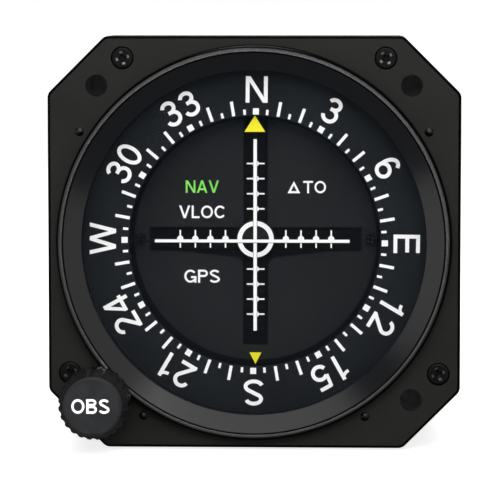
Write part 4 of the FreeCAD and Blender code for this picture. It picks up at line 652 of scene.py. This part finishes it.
def dial_lacquer(name, dark, light, shaded=None):
    """Flat black lacquer with a fine even grain, with near-black painted shade where the shaded function
    says so.
    """
    nodes = Nodes(name)
    grain = nodes.noise(7000.0, 2.0)
    cloud = nodes.noise(45.0, 2.0)
    share = nodes.math("ADD", nodes.spread(cloud, 0.0, 0.7), nodes.spread(grain, 0.0, 0.3))
    colour = nodes.mix(share, dark, light)
    if shaded:
        # Painted shade, near black, where the shaded function gives 1
        colour = nodes.mix(shaded(nodes), colour, (0.0032, 0.0032, 0.0034))
    nodes.bump((grain, 0.006))
    return nodes.set(Base_Color=colour, Roughness=nodes.spread(grain, 0.6, 0.72), Specular_IOR_Level=0.08)


def mask_shade(nodes):
    """Painted shade: 1 in the mask's well, under its level arms where they flare to the upright, and on
    its rim.
    """
    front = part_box("dial_mask")[0].y
    deep = nodes.spread(nodes.axis("Y"), 0.0, 1.0, front + 0.2 * MM, front + 0.6 * MM)
    blend = 0.05
    away = nodes.math("ABSOLUTE", nodes.axis("X"))
    from_middle = nodes.distance(0.0, 0.0)
    drop = nodes.math("SUBTRACT", nodes.math("MULTIPLY", away, FLARE_SLOPE), nodes.axis("Z"))
    below = nodes.math("SUBTRACT", drop, FLARE_AT_MIDDLE * MM)
    beside = nodes.math("SUBTRACT", away, FLARE_HALF_WIDTH * MM)
    outside = nodes.math("SMOOTH_MIN", below, beside, FLARE_ROUND * MM)
    flare = nodes.product(
        nodes.unless(nodes.beyond(outside, 0.0, blend)),
        nodes.unless(nodes.beyond(nodes.axis("Z"), 0.0, blend)),
        nodes.unless(nodes.beyond(from_middle, FLARE_REACH, blend)),
    )
    rim = nodes.spread(from_middle, 0.0, 1.0, MASK_RIM_SHADE * MM, (MASK_RIM_SHADE + 0.15) * MM)
    return nodes.largest(deep, flare, rim)


def white_paint(name="marking_white"):
    """White printing, a little uneven as screened ink is."""
    nodes = Nodes(name)
    ink = nodes.noise(5200.0, 3.0)
    nodes.bump((ink, 0.004))
    # The print carries a painted glow
    return nodes.set(
        Base_Color=nodes.mix(nodes.spread(ink, 0.0, 1.0), (0.83, 0.83, 0.83), (0.9, 0.9, 0.895)),
        Roughness=nodes.spread(ink, 0.5, 0.62),
        Emission_Color=(0.9, 0.9, 0.9, 1.0),
        Emission_Strength=PAINTED_GLOW,
    )


def index_paint():
    """Fluorescent yellow lacquer whose glow is partly its fluorescence and partly painted light that
    keeps it bright in shade.
    """
    nodes = Nodes("index_yellow")
    ink = nodes.noise(3000.0, 3.0)
    nodes.bump((ink, 0.004))
    return nodes.set(
        Base_Color=nodes.mix(nodes.spread(ink, 0.0, 1.0), (0.84, 0.76, 0.012), (0.90, 0.84, 0.020)),
        Roughness=nodes.spread(ink, 0.45, 0.6), Specular_IOR_Level=0.3,
        Emission_Color=(1.0, 0.88, 0.02, 1.0), Emission_Strength=0.30,
    )


def lit_green():
    """Green filter with its lamp on."""
    nodes = Nodes("legend_green")
    glow = nodes.noise(700.0, 2.0)
    colour = nodes.mix(nodes.spread(glow, 0.0, 1.0), (0.16, 0.60, 0.07), (0.24, 0.75, 0.10))
    return nodes.set(
        Base_Color=nodes.mix(nodes.spread(glow, 0.0, 1.0), (0.06, 0.25, 0.03), (0.09, 0.32, 0.05)),
        Roughness=nodes.spread(glow, 0.4, 0.5), Emission_Color=colour, Emission_Strength=0.9,
    )


def needle_paint(name, along, limit, white_above, across, sides):
    """White stripe down the bar that shows, black on its edges and on the root that hides."""
    nodes = Nodes(name)
    ink = nodes.noise(3000.0, 3.0)
    white = nodes.beyond(nodes.axis(along), limit, 0.02)
    if not white_above:
        white = nodes.unless(white)
    side = nodes.axis(across)
    from_side, past_side = (nodes.beyond(side, edge, 0.02) for edge in sides)
    white = nodes.product(white, nodes.math("SUBTRACT", from_side, past_side))
    bright = nodes.mix(nodes.spread(ink, 0.0, 1.0), (0.84, 0.84, 0.84), (0.9, 0.9, 0.9))
    nodes.bump((ink, 0.004))
    # The white stripe carries a painted glow
    return nodes.set(
        Base_Color=nodes.mix(white, (0.004, 0.004, 0.0045), bright),
        Roughness=nodes.spread(ink, 0.5, 0.6), Specular_IOR_Level=0.1,
        Emission_Color=(0.9, 0.9, 0.9, 1.0), Emission_Strength=nodes.product(white, PAINTED_GLOW),
    )


def knob_finish():
    """Moulded knob: dull grey face with a painted highlight on its rim, and shinier flutes darkened with
    painted shade.
    """
    nodes = Nodes("knob_plastic")
    fine = nodes.noise(3600.0, 4.0)
    cloud = nodes.noise(420.0, 4.0)
    low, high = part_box("obs_knob")
    away = nodes.distance((low.x + high.x) / 2, (low.z + high.z) / 2)
    front = nodes.spread(nodes.axis("Y"), 1.0, 0.0, low.y + 0.25 * MM, low.y + 0.6 * MM)
    face = nodes.product(front, nodes.spread(away, 1.0, 0.0, KNOB_FACE[0] * MM, KNOB_FACE[1] * MM))
    # Painted highlight on the rim of the face
    rim = nodes.spread(away, 0.0, 0.5, KNOB_RIM_HIGHLIGHT[0] * MM, KNOB_RIM_HIGHLIGHT[1] * MM)
    share = nodes.spread(nodes.math("ADD", fine, cloud), 0.0, 1.0, 0.75, 1.25)
    moulded = nodes.mix(share, (0.016, 0.0165, 0.0178), (0.032, 0.033, 0.0355))
    # The flutes take a darker colour as painted shade, the face the moulded grey
    colour = nodes.mix(face, (0.0120, 0.0122, 0.0130), moulded)
    colour = nodes.mix(nodes.product(face, rim), colour, (0.055, 0.056, 0.060))
    rough = nodes.math("ADD", nodes.spread(fine, 0.20, 0.30), nodes.product(face, 0.22))
    nodes.bump((fine, 0.012), (cloud, 0.02))
    return nodes.set(Base_Color=colour, Roughness=rough, Specular_IOR_Level=0.35)


def board_finish():
    """Green solder mask over a grid of tracks."""
    nodes = Nodes("circuit_board")
    across = nodes.math("PINGPONG", nodes.math("ADD", nodes.axis("X"), 0.2), 0.9 * MM)
    along = nodes.math("PINGPONG", nodes.math("ADD", nodes.axis("Y"), 0.2), 1.3 * MM)
    choose = nodes.spread(nodes.noise(160.0, 0.0), 0.0, 1.0, 0.49, 0.51)
    track_x = nodes.spread(across, 1.0, 0.0, 0.22 * MM, 0.26 * MM)
    track_y = nodes.spread(along, 1.0, 0.0, 0.22 * MM, 0.26 * MM)
    level = nodes.product(track_x, choose)
    tracks = nodes.math("ADD", level, nodes.product(track_y, nodes.unless(choose)))
    nodes.bump((tracks, 0.03), (nodes.noise(2500.0), 0.004))
    return nodes.set(
        Base_Color=nodes.mix(tracks, (0.010, 0.085, 0.030), (0.035, 0.19, 0.06)),
        Roughness=nodes.spread(nodes.noise(800.0), 0.28, 0.42), Coat_Weight=0.3,
    )


def copper_winding():
    """Enamelled wire, wound in fine turns."""
    nodes = Nodes("coil_copper")
    turns = nodes.math("PINGPONG", nodes.math("ADD", nodes.axis("Y"), 1.0), 0.06 * MM)
    cloud = nodes.noise(500.0)
    nodes.bump((nodes.spread(turns, 0.0, 1.0, 0.0, 0.06 * MM), 0.04))
    return nodes.set(
        Base_Color=nodes.mix(nodes.spread(cloud, 0.0, 1.0), (0.38, 0.13, 0.045), (0.55, 0.22, 0.08)),
        Roughness=nodes.spread(cloud, 0.25, 0.4), Metallic=0.9,
    )


def turned_metal(name, dark, light, roughness):
    """Machined metal with fine rings about the dial's axis."""
    nodes = Nodes(name)
    rings = nodes.math("PINGPONG", nodes.distance(0.0, 0.0), 0.05 * MM)
    lines = nodes.spread(rings, 0.0, 1.0, 0.0, 0.05 * MM)
    stain = nodes.noise(220.0, 4.0)
    nodes.bump((lines, 0.003), (nodes.noise(1800.0), 0.004))
    return nodes.set(
        Base_Color=nodes.mix(nodes.spread(stain, 0.0, 1.0), dark, light),
        Roughness=nodes.spread(stain, roughness[0], roughness[1]), Metallic=1.0,
    )


def finishes():
    """One material for each of the record's slots."""
    long_grain = (1.0, 0.06, 1.0)
    rolled_grain = (0.05, 1.0, 1.0)
    made = {
        "black_casting": casting(),
        "black_screw": screw_finish("bezel_screws", BEZEL_SCREW_HEAD),
        "lens": lens_finish(),
        "dial_black": dial_lacquer("dial_black", (0.0120, 0.0133, 0.0158), (0.0168, 0.0186, 0.0215)),
        "gear_brass": turned_metal("gear_brass", (0.52, 0.36, 0.13), (0.74, 0.56, 0.26), (0.24, 0.36)),
        "bearing_bronze": turned_metal(
            "bearing_bronze", (0.36, 0.22, 0.09), (0.55, 0.36, 0.17), (0.4, 0.55)
        ),
        "knob_plastic": knob_finish(),
        "index_yellow": index_paint(),
        "needle_white": white_paint("needle_white"),
        "coil_copper": copper_winding(),
        "circuit_board": board_finish(),
    }
    # Slot, dark colour, light colour, roughness, and what else the surface takes
    plain = (
        ("pin_steel", (0.012, 0.012, 0.011), (0.045, 0.045, 0.042), (0.26, 0.40), 1.0, 1800.0),
        ("gasket_rubber", (0.004, 0.004, 0.004), (0.008, 0.008, 0.008), (0.7, 0.85)),
        ("black_anodised", (0.006, 0.006, 0.007), (0.012, 0.012, 0.0135), (0.4, 0.5)),
        ("nylon", (0.74, 0.73, 0.67), (0.86, 0.85, 0.80), (0.42, 0.55)),
        ("steel", (0.42, 0.42, 0.43), (0.62, 0.62, 0.63), (0.24, 0.36), 1.0, 1600.0, 0.005, long_grain),
        (
            "plate_aluminium", (0.60, 0.60, 0.61), (0.76, 0.76, 0.77), (0.30, 0.44),
            1.0, 1200.0, 0.006, rolled_grain,
        ),
        ("magnet", (0.10, 0.10, 0.105), (0.17, 0.17, 0.175), (0.35, 0.5), 0.8, 1400.0),
        ("housing_plastic", (0.66, 0.66, 0.64), (0.76, 0.76, 0.74), (0.45, 0.6)),
        ("component_black", (0.012, 0.012, 0.013), (0.03, 0.03, 0.032), (0.4, 0.55)),
        ("case_black", (0.016, 0.016, 0.0165), (0.028, 0.028, 0.029), (0.42, 0.56), 0.0, 1500.0, 0.02),
        ("connector_tin", (0.50, 0.50, 0.48), (0.66, 0.66, 0.63), (0.28, 0.42), 1.0, 700.0),
        ("insert_plastic", (0.012, 0.013, 0.016), (0.022, 0.023, 0.028), (0.35, 0.5)),
    )
    gloss = {"gasket_rubber": 0.2, "black_anodised": 0.3}
    for slot, *rest in plain:
        made[slot] = surface(slot, *rest, gloss=gloss.get(slot, 0.5))
    return made


def dress_nodes(by_slot):
    """Give every node of the frame its finish."""
    own = {
        "dial_mask": dial_lacquer(
            "mask_black", (0.0165, 0.0168, 0.0180), (0.0220, 0.0225, 0.0240), mask_shade
        ),
        "mask_screws": screw_finish("mask_screws", MASK_SCREW_HEAD),
        "rear_cover_screws": screw_finish("rear_cover_screws", COVER_SCREW_HEAD, faces_back=True),
        "gs_needle_bar": needle_paint("gs_needle_paint", "X", GS_WHITE_FROM_X, True, "Z", GS_WHITE_SIDES),
        "cdi_needle_bar": needle_paint(
            "cdi_needle_paint", "Z", CDI_WHITE_TO_Z, False, "X", CDI_WHITE_SIDES
        ),
    }
    for entry in frame["record"]["subparts"]:
        node = frame["nodes"][entry["node"]]
        finish = own.get(entry["node"], by_slot[entry["material_slot"]])
        node.data.materials.clear()
        node.data.materials.append(finish)


# Printing on the dial and the knob


def on_card(x, z, bearing):
    """A point drawn upright at the top of the card, turned clockwise to its bearing."""
    angle = math.radians(bearing + CARD_TURN)
    return x * math.cos(angle) + z * math.sin(angle), z * math.cos(angle) - x * math.sin(angle)


def rectangle(x_middle, z_from, width, height):
    """Upright rectangular mark."""
    return band([(x_middle, z_from), (x_middle, z_from + height)], width / 2)


def make_card_marks(white):
    """Ticks and numerals of the compass card."""
    surface_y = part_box("compass_card")[0].y / MM
    ticks = []
    for bearing in range(0, 360, 5):
        if bearing % 30 == 0:
            width, length = MAJOR_TICK
        else:
            width, length = TEN_TICK if bearing % 10 == 0 else FIVE_TICK
        tick = rectangle(0.0, TICK_INNER, width, length)
        ticks.append(moved(tick, lambda x, z, at=bearing: on_card(x, z, at)))
    painted("card_ticks", ticks, surface_y, "card", white, crossing=False)
    bottom = NUMERAL_MIDDLE - NUMERAL_HEIGHT / 2
    for number, (text, shift) in enumerate(NUMERALS):
        bands = word(text, NUMERAL_HEIGHT, NUMERAL_STROKE, NUMERAL_GAP)
        places = [x for left, right, closed in bands for x, z in left + right]
        from_middle = shift - (min(places) + max(places)) / 2

        def turned(x, z, across=from_middle, at=30 * number):
            return on_card(x + across, z + bottom, at)

        placed = [moved(shape, turned) for shape in bands]
        painted("card_numeral_" + text, placed, surface_y, "card", white, len(bands) > 1)


def printed_word(name, entry, stroke, surface_y, body, finish):
    """A word between measured edges."""
    text, x_from, x_to, z_from, z_to = entry
    bands = word(text, z_to - z_from, stroke, LEGEND_GAP, x_to - x_from)
    placed = [moved(shape, lambda x, z: (x_from + x, z_from + z)) for shape in bands]
    painted(name, placed, surface_y, body, finish)


def make_mask_marks(white, green):
    """Deviation scale in the well, centre ring, legends and the arrow outline."""
    mask_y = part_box("dial_mask")[0].y / MM
    floor_y = mask_y + WELL_DEPTH
    length, width = SCALE_DASH
    # A dot is a ring whose stroke all but closes its middle
    quarter = SCALE_DOT / 4
    for name, upright in (("scale_left_right", True), ("scale_up_down", False)):
        bands = []
        for step in SCALE_STEPS:
            at = step * SCALE_PITCH
            dash = rectangle(at, -length / 2, width, length)
            dot = band(arc(at, 0.0, quarter, quarter, 0, 336, 24), quarter - 0.02, True)
            pair = [dash, dot]
            bands += pair if upright else [moved(shape, lambda x, z: (z, x)) for shape in pair]
        painted(name, bands, floor_y, "housing", white)
    middle = (RING_OUTER + RING_INNER) / 2
    ring = band(arc(0.0, 0.0, middle, middle, 0, 355, 5), (RING_OUTER - RING_INNER) / 2, True)
    painted("centre_ring", [ring], mask_y, "housing", white, crossing=False)
    for entry in LEGENDS_WHITE:
        name = "legend_" + entry[0].lower()
        printed_word(name, entry, LEGEND_STROKE, mask_y, "housing", white)
    printed_word("legend_nav", LEGEND_GREEN, LEGEND_STROKE, mask_y, "housing", green)
    x_from, x_to, z_from, z_to = ARROW
    inset = ARROW_LINE / 2
    corners = [
        (x_from + 2 * inset, z_from + inset),
        (x_to - 2 * inset, z_from + inset),
        ((x_from + x_to) / 2, z_to - 2.2 * inset),
    ]
    arrow = [band(corners, inset, True)]
    painted("arrow_outline", arrow, mask_y, "housing", white, crossing=False)


def make_knob_marks(white):
    """Lettering on the knob's face."""
    face_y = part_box("obs_knob")[0].y / MM
    printed_word("knob_lettering", KNOB_LEGEND, KNOB_STROKE, face_y, "course_knob", white)


# Light, floor and camera


def soft_box(name, azimuth, elevation, distance, size, watts):
    """Rectangular light that looks at the dial, from an azimuth towards +X and a height, in degrees."""
    light = bpy.data.lights.new(name, "AREA")
    light.shape = "RECTANGLE"
    light.size, light.size_y = size
    light.energy = watts
    lamp = bpy.data.objects.new(name, light)
    bpy.context.scene.collection.objects.link(lamp)
    level = math.cos(math.radians(elevation))
    way = Vector((
        level * math.sin(math.radians(azimuth)),
        -level * math.cos(math.radians(azimuth)),
        math.sin(math.radians(elevation)),
    ))
    lamp.location = way * distance
    lamp.rotation_euler = way.to_track_quat("Z", "Y").to_euler()


def by_camera(tree, seen, unseen):
    """Strength that the camera sees, and the strength that lights the object."""
    path = tree.nodes.new("ShaderNodeLightPath")
    node = tree.nodes.new("ShaderNodeMapRange")
    tree.links.new(path.outputs["Is Camera Ray"], node.inputs["Value"])
    node.inputs["To Min"].default_value = unseen
    if isinstance(seen, bpy.types.NodeSocket):
        tree.links.new(seen, node.inputs["To Max"])
    else:
        node.inputs["To Max"].default_value = seen
    return node.outputs[0]


def make_studio():
    """White surroundings, seen bright by the camera and dim by the object, a floor and soft boxes."""
    world = bpy.data.worlds.new("studio")
    bpy.context.scene.world = world
    world.use_nodes = True
    tree = world.node_tree
    backdrop = tree.nodes["Background"]
    backdrop.inputs["Color"].default_value = (1.0, 1.0, 1.0, 1.0)
    tree.links.new(by_camera(tree, 1.0, WORLD_LIGHT), backdrop.inputs["Strength"])

    mesh = bmesh.new()
    bmesh.ops.create_grid(mesh, x_segments=1, y_segments=1, size=FLOOR_HALF)
    data = bpy.data.meshes.new("floor")
    mesh.to_mesh(data)
    mesh.free()
    floor = bpy.data.objects.new("floor", data)
    floor.location = (0.0, 0.0, cad_bounds[0][2] - FLOOR_GAP)
    bpy.context.scene.collection.objects.link(floor)
    nodes = Nodes("floor")
    across = nodes.math("MULTIPLY", nodes.axis("X"), nodes.axis("X"))
    along = nodes.math("MULTIPLY", nodes.axis("Y"), nodes.axis("Y"))
    away = nodes.math("SQRT", nodes.math("ADD", across, along))
    sweep = nodes.spread(away, *FLOOR_GLOW, *FLOOR_SWEEP)
    pale = nodes.spread(nodes.noise(6.0), 0.0, 1.0)
    nodes.set(
        Base_Color=nodes.mix(pale, (0.80, 0.80, 0.80), (0.84, 0.84, 0.84)),
        Roughness=0.8, Specular_IOR_Level=0.1,
        Emission_Color=(1.0, 1.0, 1.0, 1.0), Emission_Strength=by_camera(nodes.tree, sweep, 0.0),
    )
    floor.data.materials.append(nodes.material)
    floor.visible_glossy = False
    floor.visible_shadow = False

    for light in LIGHTS:
        soft_box(*light)


def make_camera():
    """Camera at the photograph's place."""
    data = bpy.data.cameras.new("camera")
    data.lens = CAMERA_LENS
    data.sensor_width = SENSOR
    data.sensor_fit = "HORIZONTAL"
    data.shift_x, data.shift_y = SHIFT
    camera = bpy.data.objects.new("camera", data)
    bpy.context.scene.collection.objects.link(camera)
    camera.location = CAMERA_BACK * CAMERA_DISTANCE
    camera.rotation_euler = CAMERA_BACK.to_track_quat("Z", "Y").to_euler()
    bpy.context.scene.camera = camera


bpy.context.scene.view_settings.view_transform = "Standard"
make_camera()
make_studio()
dress_nodes(finishes())
print_white = white_paint()
make_card_marks(print_white)
make_mask_marks(print_white, lit_green())
make_knob_marks(print_white)
